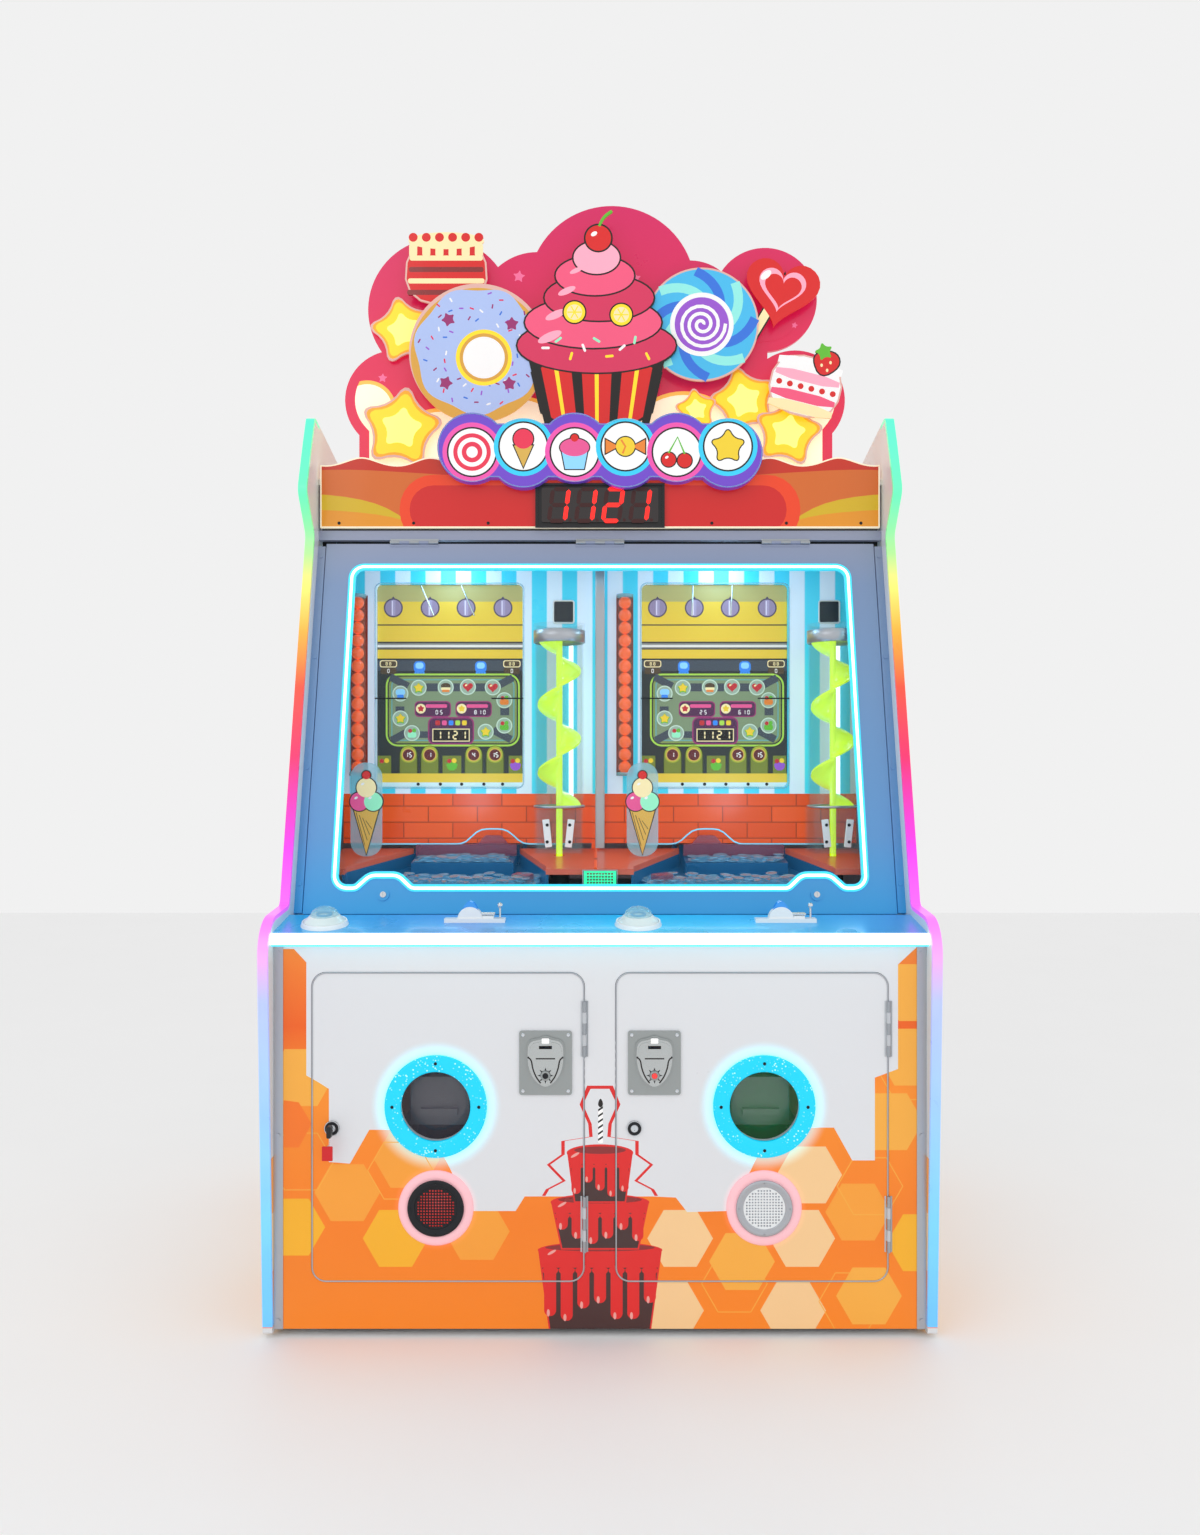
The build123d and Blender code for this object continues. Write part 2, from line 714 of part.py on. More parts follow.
def rear_door():
    mid_x = (REAR_DOOR[0] + REAR_DOOR[1]) / 2
    mid_z = (REAR_DOOR[2] + REAR_DOOR[3]) / 2
    face = Pos(mid_x, mid_z) * Rectangle(REAR_DOOR[1] - REAR_DOOR[0], REAR_DOOR[3] - REAR_DOOR[2])
    for i in range(6):
        face = face - Pos(mid_x, 230 + 22 * i) * SlotOverall(300, 9)
    panel = front_sheet(face, REAR_FACE - 12, REAR_FACE)
    x = REAR_DOOR[1] - 40
    pull = block(x - 6, x + 6, REAR_FACE, REAR_FACE + 7, mid_z - 60, mid_z + 60)
    return group(panel, pull, *rear_hinges(True))


# ---- play cavity ----
LIFT_OUT = (216.0, 1407.0, 42.0, 46.0)


def back_wall():
    face = Pos(0, (DECK_Z + 12 + 1600) / 2) * Rectangle(1150, 1600 - DECK_Z - 12)
    for side in (-1, 1):
        x = side * STATION
        face = face - rounded(x + SCREEN_DX, SCREEN_Z, SCREEN_W, SCREEN_H, 12)
        face = face - rounded(x + LIFT_OUT[0], LIFT_OUT[1], LIFT_OUT[2], LIFT_OUT[3], 8)
    wall = front_sheet(face, WALL_Y, WALL_Y + WALL_T)
    ceiling = block(-575, 575, -62, WALL_Y + WALL_T, 1600, 1606)
    lamp = block(-560, 560, -30, -14, 1590, 1600)
    return group(wall, ceiling, lamp)


def monitors():
    pieces = []
    for side in (-1, 1):
        x = side * STATION + SCREEN_DX
        y = WALL_Y + WALL_T
        case = block(x - 176, x + 176, y, y + 26, SCREEN_Z - 242, SCREEN_Z + 242)
        pieces.append(case + block(x - 110, x + 110, y + 26, y + 44, SCREEN_Z - 130, SCREEN_Z + 130))
    return group(*pieces)


def divider():
    post = block(-19, -1, 6, WALL_Y, DECK_Z + 1, 1600)
    strip = on_deck(block(-12, -6, DECK_FRONT, -20, 0, 3))
    return group(post, strip)


def ball_columns():
    pieces = []
    y = WALL_Y - 18
    low = 1045.0
    for side in (-1, 1):
        x = side * STATION + BALL_DX
        cover = rod_z(x, y, low - 8, low + BALL_COUNT * 28.2 + 2, 17.5)
        cover = cover - rod_z(x, y, low - 9, low + 500, 15.5)
        pieces.append(cover + rod_z(x, y, low - 8, low - 2, 16))
        for i in range(BALL_COUNT):
            pieces.append(Pos(x, y, low + BALL_R + 28.2 * i) * Sphere(BALL_R))
    return group(*pieces)


def lift_housing(side):
    x = side * STATION + LIFT_DX
    y = LIFT_Y
    low = SCREW_LOW - 1
    high = SCREW_LOW + SCREW_PITCH * SCREW_TURNS
    clear = rod_z(x, y, low, high, 53) - rod_z(x, y, low - 1, high + 1, 50)
    collar = rod_z(x, y, high, high + 28, 56) - rod_z(x, y, high - 1, high + 30, 50)
    boot_low = DECK_Z - 2
    boot = block(x - 51, x + 51, y - 51, y + 51, boot_low, low)
    boot = boot - block(x - 47, x + 47, y - 47, y + 47, boot_low - 1, low - 4)
    boot = boot - rod_z(x, y, low - 9, low + 1, 15)
    return group(clear, collar, boot)


def lift_housings():
    deck = playfield_deck()
    pieces = []
    for side in (-1, 1):
        for piece in lift_housing(side).solids():
            pieces.append(piece - deck)
    return group(*pieces)


def lift_screw(side_name):
    x = SIDES[side_name] * STATION + LIFT_DX
    length = SCREW_PITCH * SCREW_TURNS
    blade = (Pos(SCREW_R / 2, 0, 0) * Rectangle(SCREW_R, 8)).face()
    flight = Solid.extrude_linear_with_rotation(blade, (0, 0, 0), (0, 0, length), 360 * SCREW_TURNS)
    core = rod_z(0, 0, 850 - SCREW_LOW, length, 7)
    return Pos(x, LIFT_Y, SCREW_LOW) * (core + flight)


BED_BACK = (-120.0, 118.0)
BED_FRONT = (-228.0, 186.0)
BED_KNEE = -200.0
BED_TAIL = 170.0


def bed_sketch(side, grow=0.0, tail=BED_TAIL):
    x = side * STATION
    points = [
        (x + BED_BACK[0] - grow, tail),
        (x + BED_BACK[0] - grow, 0),
        (x + BED_FRONT[0] - grow, BED_KNEE),
        (x + BED_FRONT[0] - grow, DECK_FRONT - 1),
        (x + BED_FRONT[1] + grow, DECK_FRONT - 1),
        (x + BED_FRONT[1] + grow, BED_KNEE),
        (x + BED_BACK[1] + grow, 0),
        (x + BED_BACK[1] + grow, tail),
    ]
    return outline(points)


def playfield_deck():
    sheet = Pos(0, DECK_FRONT / 2) * Rectangle(1150, -DECK_FRONT)
    for side in (-1, 1):
        sheet = sheet - bed_sketch(side)
        sheet = sheet - Pos(side * STATION + LIFT_DX, LIFT_Y - WALL_Y) * Circle(12)
    return on_deck(flat_sheet(sheet, -DECK_T, 0))


def coin_beds():
    pieces = []
    for side in (-1, 1):
        tray = flat_sheet(bed_sketch(side, 5), BED_LOW - 5, -DECK_T)
        tray = tray - flat_sheet(bed_sketch(side, 0, 400), BED_LOW, 0)
        front = block(-1000, 1000, DECK_FRONT - 20, DECK_FRONT + 0.01, BED_LOW, 0)
        pieces.append(tray - front)
    return on_deck(group(*pieces))


def play_guides():
    """Shield boards over the pushers, angled guide blocks at the bed's front and the middle payout mesh."""
    pieces = []
    for side in (-1, 1):
        x = side * STATION
        bump = x - side * 60
        board = outline(
            [
                (x - 112, -DECK_T),
                (x - 112, 14),
                (bump - 34, 14),
                (bump - 18, 34),
                (bump + 18, 34),
                (bump + 34, 14),
                (x + 112, 14),
                (x + 112, -DECK_T),
            ],
            [0, 4, 9, 14, 14, 9, 4, 0],
        )
        pieces.append(on_deck(front_sheet(board, -24, -18)))
        for dx, turn in ((-168, 28), (136, -28)):
            guide = Pos(x + dx, -190, BED_LOW + 11) * Rot(0, 0, turn) * Box(38, 26, 22)
            pieces.append(on_deck(guide))
    mesh = block(-34, 34, DECK_FRONT - 6, DECK_FRONT, -52, -2)
    pieces.append(on_deck(mesh))
    return group(*pieces)


def pusher(side_name):
    x = SIDES[side_name] * STATION
    plate = block(x - 112, x + 110, -95, 120, BED_LOW + 0.5, PUSHER_TOP)
    eye_y = CRANK_Y + CRANK_THROW
    rod = block(x - 6, x + 6, 120, eye_y - 8, -32, -26)
    eye = rod_z(x, eye_y, -32, -26, 11) - rod_z(x, eye_y, -33, -25, 6)
    return on_deck(group(plate, rod + eye))


def crank(side_name):
    x = SIDES[side_name] * STATION
    disc = rod_z(x, CRANK_Y, -46, -40, 34) + rod_z(x, CRANK_Y + CRANK_THROW, -40, -33, 5)
    return on_deck(disc + rod_z(x, CRANK_Y, -62, -46, 6))


def drive_motors():
    pieces = []
    plate = block(-POST_X, POST_X, CRANK_Y - 32, CRANK_Y + 32, -126, -120)
    for side in (-1, 1):
        x = side * STATION
        motor = rod_z(x, CRANK_Y, -120, -80, 30)
        motor = motor + block(x - 30, x + 30, CRANK_Y - 30, CRANK_Y + 30, -80, -47)
        pieces.append(on_deck(motor - rod_z(x, CRANK_Y, -63, -40, 6 + PIN_CLEARANCE)))
        lx = side * STATION + LIFT_DX
        lift = rod_z(lx, LIFT_Y, 770, 835, 22) + rod_z(lx, LIFT_Y, 835, 852, 12)
        pieces.append(lift - rod_z(lx, LIFT_Y, 848, 870, 7 + PIN_CLEARANCE))
    pieces.append(on_deck(plate))
    pieces.append(block(-POST_X, POST_X, LIFT_Y - 24, LIFT_Y + 24, 764, 770))
    return group(*pieces)


def standees():
    pieces = []
    deck = playfield_deck()
    for side in (-1, 1):
        x = side * STATION - 206
        y = -78.0
        body = lobes([(x, 1030, 40), (x, 980, 34), (x + 30, 992, 20)], (x - 26, x + 26, 868, 990))
        figure = (front_sheet(body, y - 3, y + 2) - deck).solids()
        pieces.append(max(figure, key=lambda solid: solid.volume))
        feet = block(x - 36, x + 36, y + 2, y + 22, 862, 880) + block(x - 36, x + 36, y - 20, y - 3, 862, 878)
        pieces.extend(solid for solid in (feet - deck).solids() if solid.bounding_box().max.Z > 868)
    return group(*pieces)


# ---- inside the lower cabinet ----
BIN = (130.0, -285.0, -60.0, 110.0, 300.0)


def token_hoppers():
    pieces = []
    for side in (-1, 1):
        x = side * STATION
        outer = block(x - BIN[0], x + BIN[0], BIN[1], BIN[2], BIN[3], BIN[4])
        inner = block(x - BIN[0] + 3, x + BIN[0] - 3, BIN[1] + 3, BIN[2] - 3, BIN[3] + 3, BIN[4] + 1)
        pieces.append(outer - inner)
        pieces.append(rod_z(x, (BIN[1] + BIN[2]) / 2, RAIL_LOW, BIN[3], 40))
    chute = outline([(-243, 800), (-160, 700), (-160, 697), (-243, 797)])
    pieces.append(side_sheet(chute, -560, 560))
    return group(*pieces)


def ticket_units():
    pieces = []
    for side in (-1, 1):
        x = side * RING_X
        body = block(x - 55, x + 55, -380, -300, 385, 470)
        reel = rod_x(x - 12, x + 12, -340, 430, 30)
        mouth = block(x - 35, x + 35, -392, -380, 400, 412)
        pieces.append(body + mouth + reel)
        pieces.append(block(x - 70, x + 70, -380, -290, 379, 385))
        pieces.append(block(x - 6, x + 6, -300, -290, 385, 470))
        pieces.append(block(x - 60, x - 54, -374, -296, RAIL_LOW, 379))
    return group(*pieces)


def control_unit():
    board = block(60, 400, 405, 411, 880, 1120)
    supply = block(-420, -200, 330, 420, RAIL_LOW, 160)
    inlet = block(-503, -457, REAR_FACE - 40, REAR_FACE, 107, 133)
    pins = []
    for x, z in ((-488, 117), (-472, 117), (-480, 125)):
        pins.append(block(x - 1, x + 1, REAR_FACE - 22, REAR_FACE - 2, z - 3, z + 3))
    socket = block(-495, -465, REAR_FACE - 22, REAR_FACE + 1, 109, 131)
    return group(board, supply, inlet - socket, *pins)


def write(name, shape):
    export_step(shape, f"parts/{name}.step")


def main():
    os.makedirs("parts", exist_ok=True)
    band = edge_band()
    write("cabinet_frame", cabinet_frame())
    write("levelling_feet", levelling_feet())
    write("edge_lights", group(edge_light(-1, band), edge_light(1, band)))
    write("front_panel", front_panel())
    write("corner_trims", corner_trims())
    write("console_top", console_top())
    write("console_light", block(-INNER, INNER, -455, CONSOLE_FRONT, CONSOLE_Z - 20, CONSOLE_Z))
    write("start_flanges", start_flanges())
    write("coin_rails", coin_rails())
    write("window_surround", window_surround())
    write("window_frame", window_frame())
    write("window_glass", window_glass())
    write("window_light", window_light())
    write("marquee_panel", marquee_panel())
    write("digit_display", digit_display())
    write("title_plate", title_plate())
    write("topper_board", topper_board())
    write("topper_cutout", topper_cutout())
    write("roof_panel", roof_panel())
    write("rear_panel", rear_panel())
    write("rear_door", rear_door())
    write("back_wall", group(back_wall(), divider()))
    write("monitors", monitors())
    write("ball_columns", ball_columns())
    write("lift_housings", lift_housings())
    write("playfield_deck", playfield_deck())
    write("coin_beds", coin_beds())
    write("play_guides", play_guides())
    write("drive_motors", drive_motors())
    write("standees", standees())
    write("token_hoppers", token_hoppers())
    write("ticket_units", ticket_units())
    write("control_unit", control_unit())
    fixed = door_hinges(-1, False) + door_hinges(1, False) + rear_hinges(False) + window_hinges(False)
    write("fixed_hinges", group(*fixed))
    for name, side in SIDES.items():
        write(f"side_panel_{name}", side_panel(side, band))
        write(f"door_{name}", access_door(name))
        write(f"door_lock_{name}", door_lock(name))
        write(f"porthole_{name}", porthole(name))
        write(f"speaker_{name}", speaker(name))
        write(f"coin_plate_{name}", coin_plate(name))
        write(f"return_button_{name}", return_button(name))
        write(f"start_button_{name}", start_button(name))
        write(f"aim_lever_{name}", aim_lever(name))
        write(f"window_lock_{name}", window_lock(name))
        write(f"lift_screw_{name}", lift_screw(name))
        write(f"pusher_{name}", pusher(name))
        write(f"crank_{name}", crank(name))


main()
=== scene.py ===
import json
import math
import random

import bmesh
import bpy
from mathutils import Matrix, Vector
from mathutils.geometry import delaunay_2d_cdt


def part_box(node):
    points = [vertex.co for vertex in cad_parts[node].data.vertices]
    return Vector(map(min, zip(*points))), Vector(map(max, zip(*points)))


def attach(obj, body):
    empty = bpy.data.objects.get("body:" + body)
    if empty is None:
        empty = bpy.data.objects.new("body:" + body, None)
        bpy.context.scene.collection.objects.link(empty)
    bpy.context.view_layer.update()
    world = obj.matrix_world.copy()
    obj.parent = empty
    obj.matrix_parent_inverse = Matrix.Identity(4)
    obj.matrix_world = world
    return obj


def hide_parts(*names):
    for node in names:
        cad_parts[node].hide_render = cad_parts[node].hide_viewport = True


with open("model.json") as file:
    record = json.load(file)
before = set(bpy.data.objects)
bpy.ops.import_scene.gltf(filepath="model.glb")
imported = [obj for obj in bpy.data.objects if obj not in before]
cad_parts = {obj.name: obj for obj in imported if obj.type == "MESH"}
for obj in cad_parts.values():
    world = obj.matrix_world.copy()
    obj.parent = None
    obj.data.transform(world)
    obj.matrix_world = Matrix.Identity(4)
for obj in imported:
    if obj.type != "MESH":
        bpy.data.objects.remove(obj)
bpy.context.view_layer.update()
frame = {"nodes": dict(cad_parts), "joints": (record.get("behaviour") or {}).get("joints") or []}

# Two-station coin pusher cabinet. Helpers take millimetres in the frame's axes, and build in metres.
MM = 0.001
SIDES = {"left": -1, "right": 1}
random.seed(7)


def middle(node):
    low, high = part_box(node)
    return (low + high) / 2 / MM


PANEL_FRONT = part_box("front_panel")[0].y / MM
STATION = middle("crank_right").x
FLOOR_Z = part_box("levelling_feet")[0].z
DECK_TILT = math.radians(6.9)
DECK_FOOT = Vector((0, 24, 877))
WINDOW_LEAN = math.radians(15)
WINDOW_FOOT = Vector((0, -286.8, 768.5))
CONSOLE_SLOPE = math.radians(8.7)
CONSOLE_EDGE = Vector((0, -440, 752))
START_Y = -385.0
RAIL_Y = -362.0
FORWARD = (0, -1, 0)
UP = (0, 0, 1)
# Places across a station, from its middle
SCREEN_DX, LIFT_DX, BALL_DX, STANDEE_DX, RAIL_DX = -40, 209, -242, -206, 56
SCREEN_Z = 1242.0


# ---------------------------------------------------------------- colours and materials
def colour(code):
    """Linear colour of an sRGB hex code."""
    channels = [int(code[i:i + 2], 16) / 255 for i in (0, 2, 4)]
    return [c / 12.92 if c <= 0.04045 else ((c + 0.055) / 1.055) ** 2.4 for c in channels] + [1.0]


MATERIALS = {}


def start_material(name):
    material = bpy.data.materials.new(name)
    material.use_nodes = True
    MATERIALS[name] = material
    tree = material.node_tree
    shader = tree.nodes["Principled BSDF"]
    coords = tree.nodes.new("ShaderNodeTexCoord").outputs["Object"]
    return material, tree, shader, coords


def noise(tree, coords, scale, detail=4.0, stretch=None):
    if stretch:
        mapping = tree.nodes.new("ShaderNodeMapping")
        mapping.inputs["Scale"].default_value = stretch
        tree.links.new(coords, mapping.inputs["Vector"])
        coords = mapping.outputs["Vector"]
    node = tree.nodes.new("ShaderNodeTexNoise")
    node.inputs["Scale"].default_value = scale
    node.inputs["Detail"].default_value = detail
    tree.links.new(coords, node.inputs["Vector"])
    return node.outputs["Fac"]


def mix(tree, factor, first, second, blend="MIX"):
    node = tree.nodes.new("ShaderNodeMix")
    node.data_type = "RGBA"
    node.blend_type = blend
    for socket, value in ((node.inputs["Factor"], factor), (node.inputs[6], first),
                          (node.inputs[7], second)):
        if isinstance(value, bpy.types.NodeSocket):
            tree.links.new(value, socket)
        else:
            socket.default_value = value
    return node.outputs[2]


def spread(tree, value, low, high, out_low, out_high):
    node = tree.nodes.new("ShaderNodeMapRange")
    node.interpolation_type = "SMOOTHSTEP"
    for socket, number in zip(node.inputs[1:5], (low, high, out_low, out_high)):
        socket.default_value = number
    tree.links.new(value, node.inputs[0])
    return node.outputs[0]


def ramp(tree, value, stops):
    node = tree.nodes.new("ShaderNodeValToRGB")
    points = node.color_ramp.elements
    while len(points) < len(stops):
        points.new(0.5)
    for point, (place, code) in zip(points, stops):
        point.position = place
        point.color = colour(code)
    tree.links.new(value, node.inputs[0])
    return node.outputs[0]


def axis_value(tree, coords, axis):
    split = tree.nodes.new("ShaderNodeSeparateXYZ")
    tree.links.new(coords, split.inputs[0])
    return split.outputs[axis]


def gap_to(tree, coords, x, z):
    """Distance from a point of the X, Z plane, in metres."""
    flat = tree.nodes.new("ShaderNodeVectorMath")
    flat.operation = "MULTIPLY"
    flat.inputs[1].default_value = (1, 0, 1)
    tree.links.new(coords, flat.inputs[0])
    far = tree.nodes.new("ShaderNodeVectorMath")
    far.operation = "DISTANCE"
    far.inputs[1].default_value = (x * MM, 0, z * MM)
    tree.links.new(flat.outputs[0], far.inputs[0])
    return far.outputs["Value"]


def dress(tree, shader, coords, base, rough, vary, scale, bump, stretch=None):
    """Base colour with cloudy variation, roughness that varies with it, and a fine bump."""
    cloud = noise(tree, coords, scale, stretch=stretch)
    dark = mix(tree, 1.0, base, [1 - vary] * 3 + [1], "MULTIPLY")
    light = mix(tree, 1.0, base, [1 + vary] * 3 + [1], "MULTIPLY")
    shade = mix(tree, cloud, dark, light)
    tree.links.new(shade, shader.inputs["Base Color"])
    roughness = spread(tree, cloud, 0.25, 0.75, max(rough - 0.03, 0.02), rough + 0.04)
    tree.links.new(roughness, shader.inputs["Roughness"])
    if bump:
        fine = noise(tree, coords, scale * 12, 2.0, stretch)
        node = tree.nodes.new("ShaderNodeBump")
        node.inputs["Strength"].default_value = bump
        node.inputs["Distance"].default_value = 0.0004
        tree.links.new(fine, node.inputs["Height"])
        tree.links.new(node.outputs[0], shader.inputs["Normal"])
    return shade


def finish(name, code, rough=0.35, metal=0.0, vary=0.05, scale=9.0, bump=0.06, coat=0.0, emit=0.0,
           alpha=1.0, stretch=None, painted_glow_spots=(), stops=None, axis="Z", span=(0, 1), transmission=0.0):
    """A material of one colour, or of colour stops along an axis, with optional emission and optional spots of
    painted glow round nearby lamps.
    """
    material, tree, shader, coords = start_material(name)
    base = colour(code)
    if stops:
        along = axis_value(tree, coords, axis)
        node = tree.nodes.new("ShaderNodeMapRange")
        node.inputs[1].default_value = span[0] * MM
        node.inputs[2].default_value = span[1] * MM
        tree.links.new(along, node.inputs[0])
        base = ramp(tree, node.outputs[0], stops)
    shade = dress(tree, shader, coords, base, rough, vary, scale, bump, stretch)
    shader.inputs["Metallic"].default_value = metal
    shader.inputs["Coat Weight"].default_value = coat
    shader.inputs["Coat Roughness"].default_value = 0.06
    shader.inputs["Alpha"].default_value = alpha
    shader.inputs["Transmission Weight"].default_value = transmission
    if emit and not painted_glow_spots:
        tree.links.new(shade, shader.inputs["Emission Color"])
        shader.inputs["Emission Strength"].default_value = emit
    if painted_glow_spots:
        glow = mix(tree, 1.0, shade, [emit] * 3 + [1], "MULTIPLY")
        # Each spot paints a lamp's glow onto the surface as emission that fades with distance from the lamp.
        for x, z, near, far, code, strength in painted_glow_spots:
            fade = spread(tree, gap_to(tree, coords, x, z), near * MM, far * MM, strength, 0.0)
            tint = mix(tree, fade, [0, 0, 0, 1], colour(code))
            glow = mix(tree, 1.0, glow, tint, "ADD")
        tree.links.new(glow, shader.inputs["Emission Color"])
        shader.inputs["Emission Strength"].default_value = 1.0
    return material


def lamp(name, code, strength, stops=None, axis="Z", span=(0, 1), base=None, vary=0.08):
    """A lit diffuser: milky plastic whose light varies a little along it."""
    return finish(name, base or code, rough=0.3, vary=vary, scale=14.0, bump=0.02, coat=0.3, emit=strength,
                  stops=stops, axis=axis, span=span)


# ---------------------------------------------------------------- outlines in millimetres
def around(steps):
    return [2 * math.pi * i / steps for i in range(steps)]


def circle(x, z, r, steps=40):
    return [(x + r * math.cos(a), z + r * math.sin(a)) for a in around(steps)]


def turned(points, x, z, degrees):
    c, s = math.cos(math.radians(degrees)), math.sin(math.radians(degrees))
    return [(x + (px - x) * c - (pz - z) * s, z + (px - x) * s + (pz - z) * c) for px, pz in points]


def oval(x, z, a, b, degrees=0.0, steps=36):
    points = [(x + a * math.cos(t), z + b * math.sin(t)) for t in around(steps)]
    return turned(points, x, z, degrees)


def ngon(x, z, r, sides=6, degrees=0.0):
    return turned(circle(x, z, r, sides), x, z, degrees)


def box2(x0, x1, z0, z1):
    return [(x0, z0), (x1, z0), (x1, z1), (x0, z1)]


def pill(x, z, width, height, r, degrees=0.0):
    points = []
    for cx, cz, first in ((1, 1, 0), (-1, 1, 90), (-1, -1, 180), (1, -1, 270)):
        for i in range(7):
            angle = math.radians(first + 15 * i)
            points.append((x + cx * (width / 2 - r) + r * math.cos(angle),
                           z + cz * (height / 2 - r) + r * math.sin(angle)))
    return turned(points, x, z, degrees)


def softened(points, times=2):
    """Round the corners of an outline by cutting them again and again."""
    for _ in range(times):
        cut = []
        for (ax, az), (bx, bz) in zip(points, points[1:] + points[:1]):
            cut.append((ax * 0.75 + bx * 0.25, az * 0.75 + bz * 0.25))
            cut.append((ax * 0.25 + bx * 0.75, az * 0.25 + bz * 0.75))
        points = cut
    return points


def star(x, z, r, inner=0.52, degrees=0.0, points=5, soft=2):
    tips = []
    for i in range(2 * points):
        reach = r if i % 2 == 0 else r * inner
        angle = math.radians(90 + degrees + 180 * i / points)
        tips.append((x + reach * math.cos(angle), z + reach * math.sin(angle)))
    return softened(tips, soft) if soft else tips


def heart(x, z, r, degrees=0.0):
    points = []
    for i in range(48):
        t = 2 * math.pi * i / 48
        across = 16 * math.sin(t) ** 3
        up = 13 * math.cos(t) - 5 * math.cos(2 * t) - 2 * math.cos(3 * t) - math.cos(4 * t)
        points.append((x + r * across / 16, z + r * up / 16))
    return turned(points[::-1], x, z, degrees)


def area(points):
    return sum(ax * bz - bx * az for (ax, az), (bx, bz) in zip(points, points[1:] + points[:1])) / 2


def grown(points, distance):
    """The outline moved outwards by a distance, with its corners kept from running away."""
    if area(points) < 0:
        points = points[::-1]
    count = len(points)
    moved = []
    for i, (x, z) in enumerate(points):
        before = Vector(points[i]) - Vector(points[i - 1])
        after = Vector(points[(i + 1) % count]) - Vector(points[i])
        if before.length < 1e-6 or after.length < 1e-6:
            continue
        before.normalize()
        after.normalize()
        out = Vector((before.y + after.y, -before.x - after.x))
        if out.length < 0.2:
            out = Vector((before.y, -before.x))
        out.normalize()
        reach = distance / max(out.dot(Vector((before.y, -before.x))), 0.5)
        moved.append((x + out.x * reach, z + out.y * reach))
    return moved


def outlined(shapes, width, ink="ink"):
    """The shapes with one dark line round them all."""
    return [(ink, grown(points, width)) for _, points in shapes] + shapes


def stroke(points, width, closed=False):
    """A line of even width through the points."""
    if closed:
        return [points, grown(points, -width)]
    left, right = [], []
    for i, (x, z) in enumerate(points):
        before = Vector(points[max(i - 1, 0)])
        after = Vector(points[min(i + 1, len(points) - 1)])
        along = (after - before).normalized()
        left.append((x - along.y * width / 2, z + along.x * width / 2))
        right.append((x + along.y * width / 2, z - along.x * width / 2))
    return right + left[::-1]


SEGMENTS = {
    "0": "abcdef", "1": "bc", "2": "abged", "3": "abgcd", "4": "fgbc", "5": "afgcd",
    "6": "afgedc", "7": "abc", "8": "abcdefg", "9": "abcdfg",
}


def digit(character, x, z, height, thick, lit, unlit=None, slant=0.0):
    """Seven-segment digit, centred on x, z."""
    w, h = height * 0.5, height
    bars = {
        "a": (0, h / 2, True), "g": (0, 0, True), "d": (0, -h / 2, True),
        "f": (-w / 2, h / 4, False), "b": (w / 2, h / 4, False),
        "e": (-w / 2, -h / 4, False), "c": (w / 2, -h / 4, False),
    }
    shapes = []
    for key, (dx, dz, flat) in bars.items():
        on = key in SEGMENTS[character]
        if not on and not unlit:
            continue
        long, half = (w if flat else h / 2) / 2 - thick * 0.12, thick / 2
        tips = [(-long, 0), (-long + half, -half), (long - half, -half), (long, 0), (long - half, half),
                (-long + half, half)]
        if not flat:
            tips = [(-b, a) for a, b in tips]
        shapes.append((lit if on else unlit, [(x + dx + a + slant * (dz + b), z + dz + b) for a,
                                              b in tips]))
    return shapes


def number(text, x, z, height, thick, pitch, lit, unlit=None, slant=0.0):
    first = x - pitch * (len(text) - 1) / 2
    shapes = []
    for i, character in enumerate(text):
        shapes += digit(character, first + pitch * i, z, height, thick, lit, unlit, slant)
    return shapes


# ---------------------------------------------------------------- pieces
def finish_piece(piece, body, replaces=()):
    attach(piece, body)
    if replaces:
        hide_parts(*replaces)
    return piece


def mesh_piece(name, verts, faces, materials, indices=None, smooth=False):
    mesh = bpy.data.meshes.new(name)
    mesh.from_pydata([(x * MM, y * MM, z * MM) for x, y, z in verts], [], faces)
    for material in materials:
        mesh.materials.append(MATERIALS[material])
    if indices:
        mesh.polygons.foreach_set("material_index", indices)
    if smooth:
        mesh.polygons.foreach_set("use_smooth", [True] * len(faces))
    mesh.update()
    piece = bpy.data.objects.new(name, mesh)
    bpy.context.scene.collection.objects.link(piece)
    return piece


def from_bmesh(name, bm, material, smooth=True):
    bmesh.ops.recalc_face_normals(bm, faces=bm.faces)
    mesh = bpy.data.meshes.new(name)
    bm.to_mesh(mesh)
    bm.free()
    mesh.materials.append(MATERIALS[material])
    mesh.polygons.foreach_set("use_smooth", [smooth] * len(mesh.polygons))
    piece = bpy.data.objects.new(name, mesh)
    bpy.context.scene.collection.objects.link(piece)
    return piece


def upright(point):
    return point


